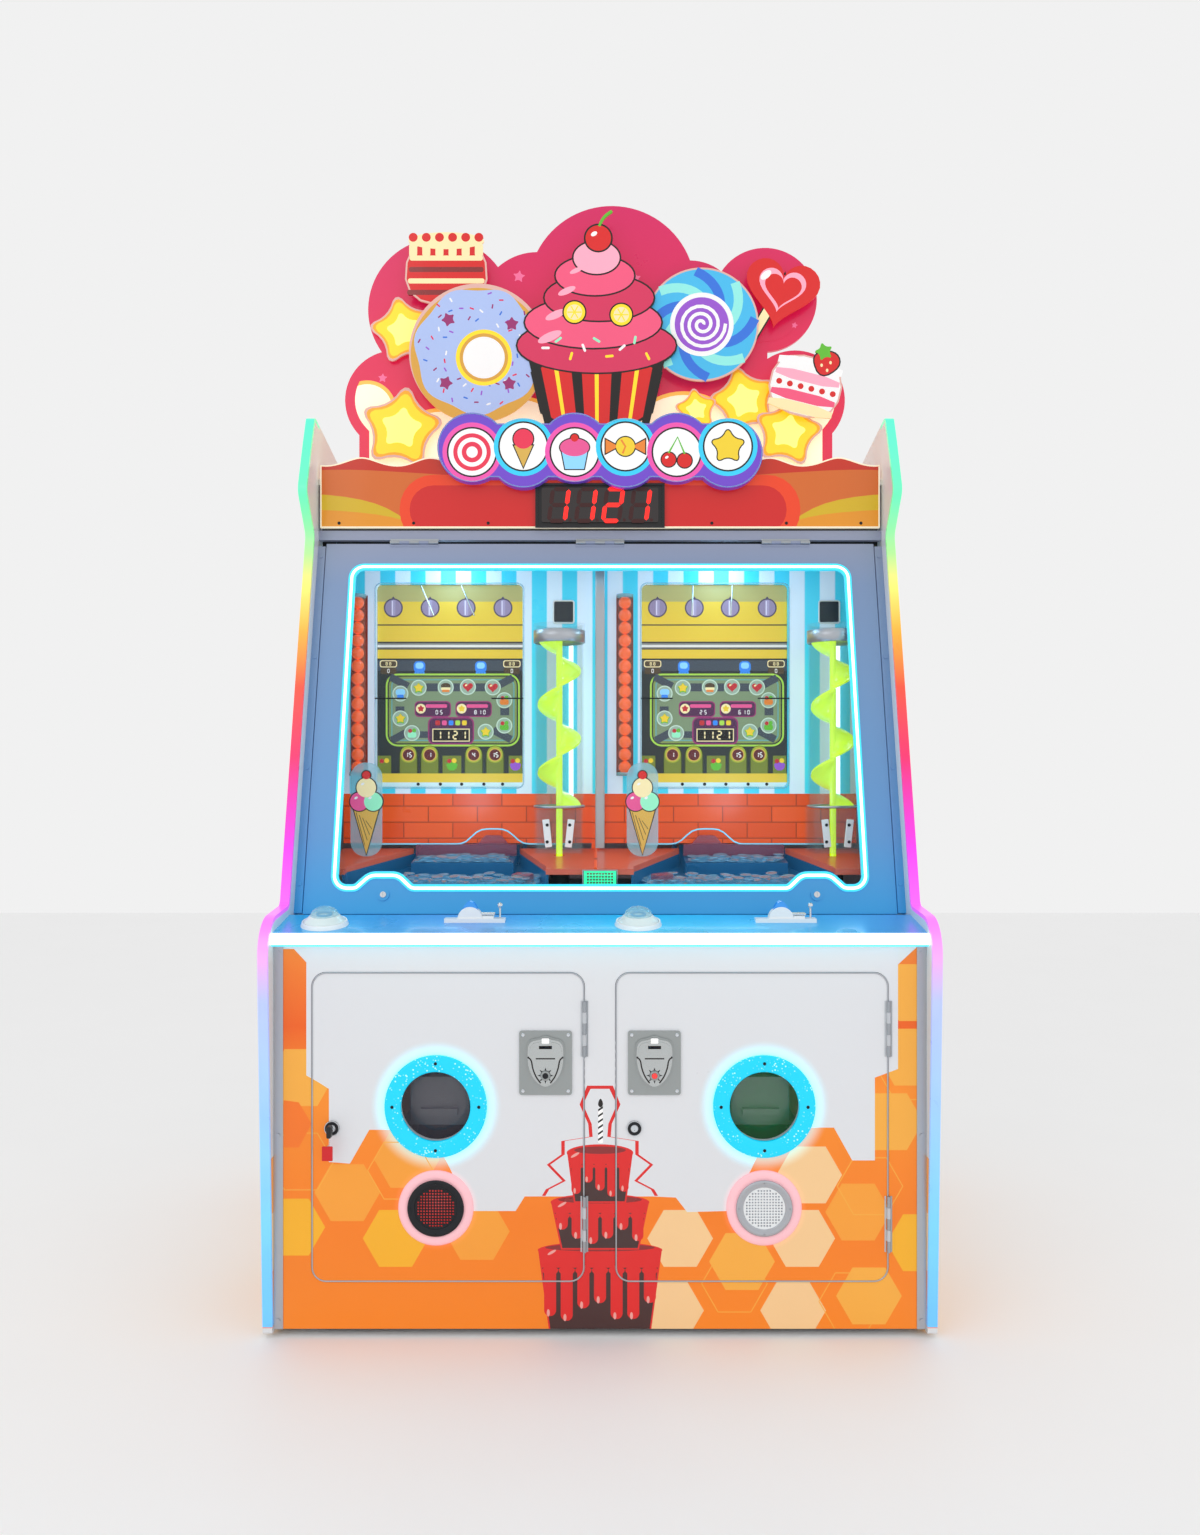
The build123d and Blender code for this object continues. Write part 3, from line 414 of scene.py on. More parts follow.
def sheet_art(name, shapes, front, thick, body, clip=None, holes=(), place=upright, replaces=()):
    """A closed printed sheet. Shapes are (material, outline), painted in order and cut to clip and holes."""
    outlines = [(None, points) for points in (clip or [])] + [("",
                                                               points) for points in holes] + list(shapes)
    verts, faces = [], []
    for _, points in outlines:
        points = points if area(points) > 0 else points[::-1]
        faces.append(list(range(len(verts), len(verts) + len(points))))
        verts += [Vector(p) for p in points]
    points, _, triangles, _, _, sources = delaunay_2d_cdt(verts, [], faces, 1, 1e-3)
    palette, kept, indices = [], [], []
    for triangle, source in zip(triangles, sources):
        kinds = [outlines[i][0] for i in sorted(source)]
        if "" in kinds or (clip and None not in kinds):
            continue
        inks = [kind for kind in kinds if kind]
        if not inks:
            continue
        if inks[-1] not in palette:
            palette.append(inks[-1])
        kept.append(tuple(triangle))
        indices.append(palette.index(inks[-1]))
    borders = {}
    for i, (a, b, c) in enumerate(kept):
        for edge in ((a, b), (b, c), (c, a)):
            borders[edge] = i
    used = sorted({v for triangle in kept for v in triangle})
    order = {v: i for i, v in enumerate(used)}
    count = len(used)
    solid = [place((points[v].x, front, points[v].y)) for v in used]
    solid += [place((points[v].x, front + thick, points[v].y)) for v in used]
    sides, side_indices = [], []
    for (a, b), i in borders.items():
        if (b, a) not in borders:
            a, b = order[a], order[b]
            sides.append((b, a, a + count, b + count))
            side_indices.append(indices[i])
    tops = [tuple(order[v] for v in triangle) for triangle in kept]
    backs = [tuple(v + count for v in triangle[::-1]) for triangle in tops]
    piece = mesh_piece(name, solid, tops + backs + sides, palette, indices + indices + side_indices)
    return finish_piece(piece, body, replaces)


def face_loops(node, axis, value, across=(0, 2), tilt=None):
    """The outer outline and the holes of a CAD node's flat face, in millimetres."""
    mesh = frame["nodes"][node].data
    spots = [tilt @ v.co if tilt else v.co for v in mesh.vertices]
    keys = [tuple(round(c * 1e5) for c in spot) for spot in spots]
    level = round(value * 100)
    edges = {}
    for polygon in mesh.polygons:
        ring = [keys[i] for i in polygon.vertices]
        if all(abs(k[axis] - level) <= 2 for k in ring):
            for a, b in zip(ring, ring[1:] + ring[:1]):
                if (b, a) in edges:
                    del edges[(b, a)]
                else:
                    edges[(a, b)] = True
    following = {a: b for a, b in edges}
    loops = []
    while following:
        start, step = following.popitem()
        loop = [start]
        while step != start and step in following:
            loop.append(step)
            step = following.pop(step)
        loops.append([(k[across[0]] / 100, k[across[1]] / 100) for k in loop])
    loops.sort(key=lambda loop: -abs(area(loop)))
    return loops


def spin(bm, profile, steps, turn, centre):
    """The rings of a surface of revolution. A profile point is (radius, distance along the axis)."""
    rings = []
    for r, h in profile:
        angles = around(steps) if r > 1e-6 else [0.0]
        spots = [turn @ Vector((r * math.cos(a), r * math.sin(a), h)) for a in angles]
        rings.append([bm.verts.new((spot + centre) * MM) for spot in spots])
    return rings


def skin(bm, pairs, steps):
    """Faces between pairs of rings, down to a single point at an end."""
    for low, high in pairs:
        for i in range(steps):
            j = (i + 1) % steps
            corners = [low[i % len(low)], low[j % len(low)], high[j % len(high)], high[i % len(high)]]
            corners = [v for n, v in enumerate(corners) if v not in corners[:n]]
            if len(corners) > 2:
                bm.faces.new(corners)


def turned_body(name, profile, centre, axis, material, body, steps=48, replaces=(),
                closed=False):
    """A solid of revolution. The profile is (radius, distance along the axis) from end to end."""
    turn = Vector(UP).rotation_difference(Vector(axis)).to_matrix()
    bm = bmesh.new()
    rings = spin(bm, profile, steps, turn, Vector(centre))
    skin(bm, list(zip(rings, rings[1:])) + ([(rings[-1], rings[0])] if closed else []), steps)
    piece = from_bmesh(name, bm, material)
    return finish_piece(piece, body, replaces)


def block_piece(name, size, centre, edge, material, body, turn=None, replaces=()):
    """A box with rounded edges, turned by an optional matrix about its centre."""
    bm = bmesh.new()
    bmesh.ops.create_cube(bm, size=1.0)
    for vert in bm.verts:
        vert.co = Vector(v * s for v, s in zip(vert.co, size))
    bmesh.ops.bevel(bm, geom=list(bm.edges), offset=edge, segments=3, profile=0.5, affect="EDGES")
    for vert in bm.verts:
        spot = turn @ vert.co if turn else vert.co
        vert.co = (spot + Vector(centre)) * MM
    piece = from_bmesh(name, bm, material, smooth=False)
    return finish_piece(piece, body, replaces)


def cable(name, points, radius, material, body, closed=False, replaces=()):
    """A round strip through the points."""
    curve = bpy.data.curves.new(name, "CURVE")
    curve.dimensions = "3D"
    curve.bevel_depth = radius * MM
    curve.bevel_resolution = 2
    curve.use_fill_caps = True
    spline = curve.splines.new("POLY")
    spline.points.add(len(points) - 1)
    for point, (x, y, z) in zip(spline.points, points):
        point.co = (x * MM, y * MM, z * MM, 1)
    spline.use_cyclic_u = closed
    curve.materials.append(MATERIALS[material])
    holder = bpy.data.objects.new(name + "_path", curve)
    bpy.context.scene.collection.objects.link(holder)
    mesh = bpy.data.meshes.new_from_object(holder)
    bpy.data.objects.remove(holder)
    mesh.polygons.foreach_set("use_smooth", [True] * len(mesh.polygons))
    piece = bpy.data.objects.new(name, mesh)
    bpy.context.scene.collection.objects.link(piece)
    return finish_piece(piece, body, replaces)


def paint(material, *nodes):
    for node in nodes:
        mesh = frame["nodes"][node].data
        if mesh.materials:
            for i in range(len(mesh.materials)):
                mesh.materials[i] = MATERIALS[material]
        else:
            mesh.materials.append(MATERIALS[material])


# ---------------------------------------------------------------- finishes
ring = {side: middle("porthole_" + side) for side in SIDES}
voice = {side: middle("speaker_" + side) for side in SIDES}
CYAN, PINK = "00E8FF", "FF6E7C"
# Painted glow: cyan round the porthole rings and pink round the speakers, painted as emission into the door
# prints near them.
PAINTED_GLOW_SPOTS = []
for side in SIDES:
    PAINTED_GLOW_SPOTS.append((ring[side].x, ring[side].z, 92, 124, CYAN, 0.62))
    PAINTED_GLOW_SPOTS.append((voice[side].x, voice[side].z, 66, 80, PINK, 0.25))

# Emission given with emit to the prints, paint, metal, beds, tokens, balls and lift screws, which hold no
# lamp, is painted glow that brightens their colour; the lamp() finishes are the lit parts.
finish("ink", "16110F", 0.3)
finish("laminate", "E8EAEC", 0.34, vary=0.008, scale=4, bump=0.015, coat=0.1)
finish("inner_board", "C9CDD2", 0.5, vary=0.04)
finish("door_white", "E6E8EC", 0.3, vary=0.008, scale=4, bump=0.015, coat=0.2, emit=0.02, painted_glow_spots=PAINTED_GLOW_SPOTS)
ORANGE_STOPS = [(0.0, "EE8010"), (0.30, "EB780C"), (0.62, "F0881C"), (0.78, "E65C04"), (1.0, "E87F26")]
finish("door_orange", "F58A1A", 0.4, vary=0.04, scale=5, coat=0.1, emit=0.2, painted_glow_spots=PAINTED_GLOW_SPOTS,
       stops=ORANGE_STOPS, span=(0, 740))
finish("hex_amber", "F09A2C", 0.4, vary=0.03, coat=0.2, emit=0.16, painted_glow_spots=PAINTED_GLOW_SPOTS)
finish("hex_gold", "F0A83A", 0.4, vary=0.03, coat=0.2, emit=0.16)
finish("hex_yellow", "F0AC16", 0.4, vary=0.04, coat=0.2, emit=0.16)
finish("hex_pale", "EFC58E", 0.4, vary=0.03, coat=0.2, emit=0.16, painted_glow_spots=PAINTED_GLOW_SPOTS)
finish("hex_deep", "F0720F", 0.4, vary=0.04, coat=0.2, emit=0.16)
finish("cake_red", "D81210", 0.32, vary=0.06, coat=0.3, emit=0.16)
finish("cake_dark_red", "8E0D10", 0.28, vary=0.08, coat=0.6)
finish("cake_brown", "3A0F0B", 0.3, vary=0.1, coat=0.6)
finish("cake_shine", "F7A9A0", 0.25, coat=0.6)
finish("pure_white", "FAFAFA", 0.3, vary=0.01, emit=0.12)
finish("alloy", "B9BCC2", 0.32, metal=0.85, vary=0.06, scale=30, stretch=(60, 60, 1), bump=0.1)
finish("dark_metal", "2B2D31", 0.4, metal=0.7, vary=0.1)
finish("black_steel", "15171A", 0.45, metal=0.3, vary=0.12)
finish("zinc_plate", "A9AEB4", 0.35, metal=0.8, vary=0.08, scale=18)
finish("satin_plate", "A3A8A8", 0.36, metal=0.7, vary=0.06, scale=12, bump=0.12)
finish("shield_plate", "C2C6C6", 0.22, metal=0.85, vary=0.06, scale=7)
finish("chrome", "D5DADF", 0.1, metal=1.0, vary=0.03)
finish("black_plastic", "101114", 0.35, vary=0.1)
finish("tag_red", "D8131D", 0.3, vary=0.08)
finish("white_plastic", "F2F6F8", 0.3, vary=0.02, coat=0.3)
finish("clear", "A8CCD8", 0.06, vary=0.02, bump=0.0, alpha=0.07, coat=0.4)
finish("clear_edge", "9FD6E4", 0.1, bump=0.0, alpha=0.42, coat=0.6, emit=0.05)
finish("pane", "7E98A4", 0.03, vary=0.01, bump=0.0, alpha=0.012, coat=0.1)
finish("dark_pane", "4A4450", 0.05, vary=0.03, bump=0.0, alpha=0.35, coat=0.5)
finish("green_pane", "1D7A3C", 0.05, vary=0.03, bump=0.0, alpha=0.3, coat=0.5)
finish("ball_cover", "F0B89A", 0.08, bump=0.0, alpha=0.1, coat=0.6)
# Painted glow: the window frame runs from grey-blue at the top to bright cyan at its foot, where the console's
# lights shine on it.
FRAME_PAINTED_GLOW_STOPS = [(0.0, "2F9AD6"), (0.2, "5B93C8"), (0.6, "6F92BC"), (0.86, "7A90B4"), (1.0, "9096AC")]
finish("frame_metal", "7C9CC8", 0.36, metal=0.4, vary=0.03, scale=3, coat=0.1, emit=0.12,
       stops=FRAME_PAINTED_GLOW_STOPS, span=(760, 1560))
CONSOLE_STOPS = [(0.0, "35B4E8"), (0.3, "5C9DE0"), (0.55, "22C8F5"), (1.0, "5BA3E0")]
finish("console_metal", "48B0E8", 0.28, metal=0.4, vary=0.05, scale=4, coat=0.2, emit=0.16,
       stops=CONSOLE_STOPS, axis="X", span=(-610, 610))
EDGE_STOPS = [(0.0, "5FB4F7"), (0.12, "6FC3FA"), (0.35, "A9B8FF"), (0.40, "E79BF2"), (0.44, "F35BE8"),
              (0.50, "F02AD8"), (0.60, "F4145F"), (0.68, "F8452A"), (0.745, "F9A52B"), (0.80, "EDE06A"),
              (0.84, "A4F08C"), (0.90, "63EDB0"), (1.0, "4FF0C0")]
lamp("edge_glow", "60B8FF", 0.42, stops=EDGE_STOPS, span=(0, 1800))
lamp("bar_glow", "E4FCFF", 1.2)
lamp("led_white", "E8FCFF", 1.8)
lamp("strip_base", "35CDEE", 0.55)
lamp("dome_glow", "D6E6E8", 0.08)
lamp("speaker_glow", "F6BCC4", 0.22)
lamp("cyan_lip", "19E4F6", 0.8)
lamp("shield_glow", "7FD4F2", 0.35)
lamp("green_lit", "2FE9A0", 0.9)
lamp("red_led", "FF1408", 1.1)
finish("red_dim", "3B0504", 0.4)
finish("red_glass", "160203", 0.15, coat=0.6)
lamp("button_red", "F03A38", 0.35)
finish("salmon", "E0664C", 0.35, vary=0.06, scale=7, coat=0.3, emit=0.08)
finish("violet_tint", "A8586E", 0.2, vary=0.06, bump=0.0, alpha=0.52, coat=0.5)
finish("bed_blue", "1F6592", 0.3, metal=0.3, vary=0.15, emit=0.16)
finish("token", "7FB6D2", 0.2, metal=0.8, vary=0.4, scale=70, emit=0.16)
finish("ball_orange", "FF5F10", 0.12, vary=0.06, scale=20, coat=0.8, emit=0.4)
finish("ball_channel", "7E2206", 0.35, vary=0.1, emit=0.1)
finish("lime", "BFEA06", 0.12, vary=0.12, scale=9, coat=0.8, emit=0.75)
# Painted shade for the mouths of the lift outlets.
finish("outlet_painted_shade", "2A3038", 0.3, vary=0.1)
finish("board_pink", "D9184F", 0.3, vary=0.02, coat=0.3, emit=0.22,
       stops=[(0, "E22C4C"), (0.5, "DB1A50"), (1, "CE145C")],
       span=(1700, 2400))


def ring_material():
    """Cyan light ring with small bubbles in it."""
    tree, shader, coords = start_material("ring_glow")[1:]
    cells = tree.nodes.new("ShaderNodeTexVoronoi")
    cells.inputs["Scale"].default_value = 170
    tree.links.new(coords, cells.inputs["Vector"])
    bubbles = spread(tree, cells.outputs["Distance"], 0.12, 0.34, 1.0, 0.0)
    patch = spread(tree, noise(tree, coords, 38), 0.42, 0.62, 0.0, 1.0)
    both = tree.nodes.new("ShaderNodeMath")
    both.operation = "MULTIPLY"
    tree.links.new(bubbles, both.inputs[0])
    tree.links.new(patch, both.inputs[1])
    shade = mix(tree, both.outputs[0], colour("00C8EA"), colour("B8F6FF"))
    tree.links.new(shade, shader.inputs["Base Color"])
    tree.links.new(shade, shader.inputs["Emission Color"])
    shader.inputs["Emission Strength"].default_value = 0.35
    shader.inputs["Roughness"].default_value = 0.25


def wall_material():
    """Back wall print: light blue and white stripes above, orange brickwork below."""
    tree, shader, coords = start_material("wall_print")[1:]
    across = axis_value(tree, coords, "X")
    wave = tree.nodes.new("ShaderNodeMath")
    wave.operation = "PINGPONG"
    wave.inputs[1].default_value = 0.034
    tree.links.new(across, wave.inputs[0])
    edge = spread(tree, wave.outputs[0], 0.0155, 0.0185, 0.0, 1.0)
    stripes = mix(tree, edge, colour("3FCDEB"), colour("CFE4F5"))
    turn = tree.nodes.new("ShaderNodeCombineXYZ")
    tree.links.new(across, turn.inputs[0])
    tree.links.new(axis_value(tree, coords, "Z"), turn.inputs[1])
    bricks = tree.nodes.new("ShaderNodeTexBrick")
    tree.links.new(turn.outputs[0], bricks.inputs["Vector"])
    for name, code in (("Color1", "E8571A"), ("Color2", "D9480F"), ("Mortar", "9E2F0A")):
        bricks.inputs[name].default_value = colour(code)
    for name, value in (("Scale", 1.0), ("Mortar Size", 0.0012), ("Brick Width", 0.11),
                        ("Row Height", 0.036)):
        bricks.inputs[name].default_value = value
    high = spread(tree, axis_value(tree, coords, "Z"), 0.9995, 1.0, 0.0, 1.0)
    print_colour = mix(tree, high, bricks.outputs["Color"], stripes)
    shade = dress(tree, shader, coords, print_colour, 0.3, 0.05, 6, 0.04)
    # The emission is painted glow that lights up the wall print.
    tree.links.new(shade, shader.inputs["Emission Color"])
    shader.inputs["Emission Strength"].default_value = 0.3


ring_material()
wall_material()

paint("laminate", "roof_panel", "rear_panel", "rear_door")
paint("laminate", "front_panel")
paint("inner_board", "door_left", "door_right")
paint("black_steel", "cabinet_frame", "drive_motors", "token_hoppers", "control_unit")
paint("zinc_plate", "levelling_feet", "fixed_hinges", "ticket_units", "crank_left", "crank_right")
paint("alloy", "corner_trims")
paint("edge_glow", "edge_lights")
paint("bar_glow", "console_light")
paint("console_metal", "console_top")
paint("white_plastic", "start_flanges", "coin_rails")
paint("frame_metal", "window_surround", "window_frame")
paint("pane", "window_glass")
paint("led_white", "window_light")
paint("chrome", "window_lock_left", "window_lock_right", "door_lock_right", "aim_lever_left",
      "aim_lever_right")
paint("black_plastic", "digit_display", "monitors")
paint("board_pink", "topper_board")
paint("wall_print", "back_wall")
paint("lime", "lift_screw_left", "lift_screw_right")
paint("clear", "lift_housings")
paint("salmon", "playfield_deck")
paint("bed_blue", "coin_beds")
paint("violet_tint", "play_guides")
paint("bed_blue", "pusher_left", "pusher_right")


# ---------------------------------------------------------------- lower front print
HEX_R = 61.0


def honeycomb():
    left = [(-620, 721), (-569, 721), (-546, 696), (-546, 486), (-523, 473), (-504, 461), (-504, 325),
            (-465, 322), (-429, 385), (-359, 385), (-292, 339), (-277, 309), (-245, 234), (-157, 234),
            (-140, 261), (0, 261), (0, 0), (-620, 0)]
    right = [(620, 729), (594, 729), (554, 692), (554, 498), (511, 482), (511, 328), (469, 328), (435, 389),
             (389, 389), (359, 364), (292, 335), (280, 309), (238, 234), (162, 232), (141, 259), (99, 261),
             (0, 261), (0, 0), (620, 0)]
    shapes = [("door_orange", left), ("door_orange", right)]
    pale = [("hex_gold", -556, 482), ("hex_amber", -470, 268), ("hex_yellow", -380, 183),
            ("hex_yellow", -572, 204),
            ("hex_amber", -359, 330), ("hex_amber", -229, 196), ("hex_pale", 149, 183),
            ("hex_pale", 389, 301),
            ("hex_pale", 376, 183), ("hex_pale", 132, 49), ("hex_gold", 264, 140), ("hex_pale", 359, 49),
            ("hex_gold", 578, 520), ("hex_gold", 586, 640), ("hex_yellow", 594, 175),
            ("hex_gold", 540, 400),
            ("hex_amber", 480, 232), ("hex_gold", 500, 76)]
    for tone, x, z in pale:
        shapes.append((tone, ngon(x, z, HEX_R)))
    for x, z in ((-556, 326), (-371, 309), (502, 280), (250, 99), (468, 66), (578, 494)):
        tips = ngon(x, z, HEX_R)
        for a, b in zip(tips, tips[1:] + tips[:1]):
            shapes.append(("hex_gold", stroke([a, b], 1.6)))
    shapes.append(("hex_deep", [(-588, 440), (-560, 436), (-536, 396), (-560, 352), (-588, 352)]))
    white = [(-504, 461), (-523, 473), (-546, 486), (-546, 696), (-546, 760), (0, 760), (0, 261),
             (-140, 261),
             (-157, 234), (-245, 234), (-277, 309), (-292, 339), (-359, 385), (-429, 385), (-465, 322),
             (-504, 325)]
    white_right = [(0, 760), (554, 760), (554, 498), (511, 482), (511, 328), (469, 328), (435, 389),
                   (389, 389),
                   (359, 364), (292, 335), (280, 309), (238, 234), (162, 232), (141, 259), (99, 261),
                   (0, 261)]
    return shapes + [("door_white", white[::-1]), ("door_white", white_right[::-1])]


def burst():
    half = [(0, 467), (24, 467), (38, 432), (22, 396), (20, 372), (72, 364), (72, 339), (99, 320),
            (70, 290),
            (101, 274), (108, 262)]
    whole = [(-x, z) for x, z in half[::-1]] + half[1:]
    inside = [(-x, z) for x, z in half_inset(half)[::-1]] + half_inset(half)[1:]
    return [("cake_red", whole), ("door_white", inside)]


def half_inset(half):
    """The right half of the burst, drawn in by its line's width."""
    return [(max(x - 6.5, 0), z - (6 if i < 2 else 0)) for i, (x, z) in enumerate(half)]


def cake_tier(low, high, bottom, top, drips):
    """A cake tier that widens upwards: dark sponge under red icing, which runs down in drips."""
    rim = 11
    body = [(-bottom, low), (bottom, low), (top, high - 14), (-top, high - 14)]
    shapes = [("cake_red", grown(body, 3)), ("cake_brown", body)]
    tall = high - low
    band = high - 14 - tall * 0.2
    half = top - (top - bottom) * 0.2
    shapes.append(("cake_red", [(-half, band), (half, band), (top, high - 14), (-top, high - 14)]))
    for i in range(drips + 1):
        share = i / drips * 2 - 1
        length = tall * (0.36 + 0.3 * abs(math.sin(2.3 * i + high)))
        width = 2 * top / drips * 0.3
        x = share * (top - width - (top - bottom) * 0.4)
        shapes.append(("cake_red", pill(x, band + 8 - length / 2, 2 * width, length, width * 0.98)))
        shapes.append(("cake_red", softened([(x - width * 2, band + 1), (x + width * 2, band + 1),
                                             (x, band - width * 2)], 2)))
        shapes.append(("cake_shine", oval(x - width * 0.3, band + 14 - length, width * 0.25, width * 0.6)))
    shapes.append(("cake_red", oval(0, high - 14, top + 4, rim + 5)))
    shapes.append(("cake_dark_red", oval(0, high - 9, top - 10, rim - 4)))
    shapes.append(("cake_shine", oval(-top * 0.8, high - 18, 9, 2.4, 30)))
    return shapes


def cake():
    shapes = burst()
    shapes.append(("pure_white", pill(1, 392, 9, 64, 3)))
    for i in range(6):
        z = 364 + 11 * i
        shapes.append(("ink", [(-3.5, z), (5.5, z + 6), (5.5, z + 10), (-3.5, z + 4)]))
    shapes.append(("ink", softened([(1, 446), (-5, 432), (1, 425), (7, 432)], 2)))
    shapes += cake_tier(12, 175, 92, 112, 6)
    shapes += cake_tier(165, 264, 70, 88, 5)
    shapes += cake_tier(252, 356, 46, 58, 4)
    return shapes


def front_print():
    shapes = honeycomb() + cake()
    for name, body in (("front_panel", "cabinet"), ("door_left", "door_left"),
                       ("door_right", "door_right")):
        loops = face_loops(name, 1, PANEL_FRONT)
        sheet_art(name + "_print", shapes, PANEL_FRONT - 0.4, 0.4, body, loops[:1], loops[1:])
        if name != "front_panel":
            edge = [(x, PANEL_FRONT - 0.6, z) for x, z in loops[0]]
            cable(name + "_edge_strip", edge, 1.5, "alloy", body, closed=True)


front_print()


# ---------------------------------------------------------------- side panels
def side_prints():
    """Laminated side panels, honeycomb printed at the foot of their outer faces."""
    for side, sign in SIDES.items():
        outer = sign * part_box("side_panel_right")[1].x
        loops = face_loops("side_panel_" + side, 0, outer * 1000, (1, 2))
        clip = [[(sign * y, z) for y, z in loops[0]]]
        place = side_place(sign, outer / MM)
        shapes = [("laminate", box2(-520, 520, -10, 1900))]
        for column in range(-6, 7):
            for row in range(5):
                x = column * HEX_R * 1.5
                z = 20 + row * HEX_R * 1.732 + (column % 2) * HEX_R * 0.866
                if z > 330 - 120 * math.sin(column * 0.9 + 1) - 60 * (row % 2):
                    continue
                tone = ("door_orange", "hex_amber", "hex_yellow", "hex_pale",
                        "hex_gold")[(column * 2 + row * 3) % 5]
                shapes.append((tone, ngon(x, z, HEX_R - 0.6)))
        thick = 18.0
        sheet_art("side_panel_" + side + "_printed", shapes, 0, thick, "cabinet", clip, place=place,
                  replaces=("side_panel_" + side,))


def side_place(sign, outer):
    def place(point):
        u, depth, v = point
        return (outer - sign * depth, sign * u, v)
    return place


# ---------------------------------------------------------------- what the doors carry
def portholes():
    for side in SIDES:
        body = "door_" + side
        x, z = ring[side].x, ring[side].z
        y = PANEL_FRONT
        profile = [(64.2, 0), (95, 0), (95, 5.5), (93.2, 7.4), (90.5, 8), (69, 8), (66, 7.2), (64.2, 5)]
        turned_body("porthole_light_" + side, profile, (x, y, z), FORWARD, "ring_glow", body, 96,
                    replaces=("porthole_" + side,), closed=True)
        glass = "dark_pane" if side == "left" else "green_pane"
        pane = [(0, 0), (74, 0), (75, 1), (75, 3), (74, 4), (0, 4)]
        turned_body("porthole_pane_" + side, pane, (x, y + 19, z), FORWARD, glass, body, 64)
        for i in range(4):
            angle = i * math.pi / 2
            spot = (x + 80.5 * math.cos(angle), y - 8, z + 80.5 * math.sin(angle))
            screw_head(f"porthole_screw_{side}_{i + 1}", spot, FORWARD, 3.0, "black_steel", body)


def screw_head(name, spot, axis, r, material, body):
    profile = [(0, 1.0), (r * 0.38, 1.0), (r * 0.46, 1.6), (r * 0.8, 1.5), (r, 0.8), (r, 0), (0, 0)]
    turned_body(name, profile[::-1], spot, axis, material, body, 20)


def perforated(name, x, z, r, pitch, hole, front, material, body):
    """A round sheet with square holes on a grid."""
    holes = []
    count = int(r / pitch)
    for i in range(-count, count + 1):
        for j in range(-count, count + 1):
            if math.hypot(i * pitch, j * pitch) < r - hole - 1:
                holes.append(pill(x + i * pitch, z + j * pitch, hole, hole, hole * 0.3))
    sheet_art(name, [(material, circle(x, z, r, 72))], front, 1.2, body, None, holes)


def speakers():
    for side in SIDES:
        body = "door_" + side
        x, z = voice[side].x, voice[side].z
        y = PANEL_FRONT
        glow = [(52, 0), (70, 0), (70, 1.5), (67, 3.6), (62, 4.6), (52, 4.6)]
        turned_body("speaker_glow_" + side, glow, (x, y, z), FORWARD, "speaker_glow", body, 72,
                    closed=True)
        bezel = [(39, 0), (52.5, 0), (52.5, 5), (51, 7), (46, 7), (43, 5), (40.5, 6), (39, 4.5)]
        metal = "dark_metal" if side == "left" else "alloy"
        turned_body("speaker_bezel_" + side, bezel, (x, y, z), FORWARD, metal, body, 72,
                    replaces=("speaker_" + side,), closed=True)
        mesh = "dark_metal" if side == "left" else "white_plastic"
        perforated("speaker_mesh_" + side, x, z, 39.5, 5.4, 3.2, y - 4, mesh, body)
        backing = "button_red" if side == "left" else "speaker_backing"
        cone = [(0, 0), (39, 0), (39, 2), (0, 2)]
        turned_body("speaker_cone_" + side, cone, (x, y, z), FORWARD, backing, body, 48)
        basket = [(0, 0), (30, 0), (30, 24), (47, 26), (47, 48), (0, 48)]
        turned_body("speaker_basket_" + side, basket, (x, y + 48, z), FORWARD, "black_steel", body, 48)
        for i in range(4):
            angle = i * math.pi / 2
            spot = (x + 47.5 * math.cos(angle), y - 6, z + 47.5 * math.sin(angle))
            screw_head(f"speaker_screw_{side}_{i + 1}", spot, FORWARD, 2.2, metal, body)


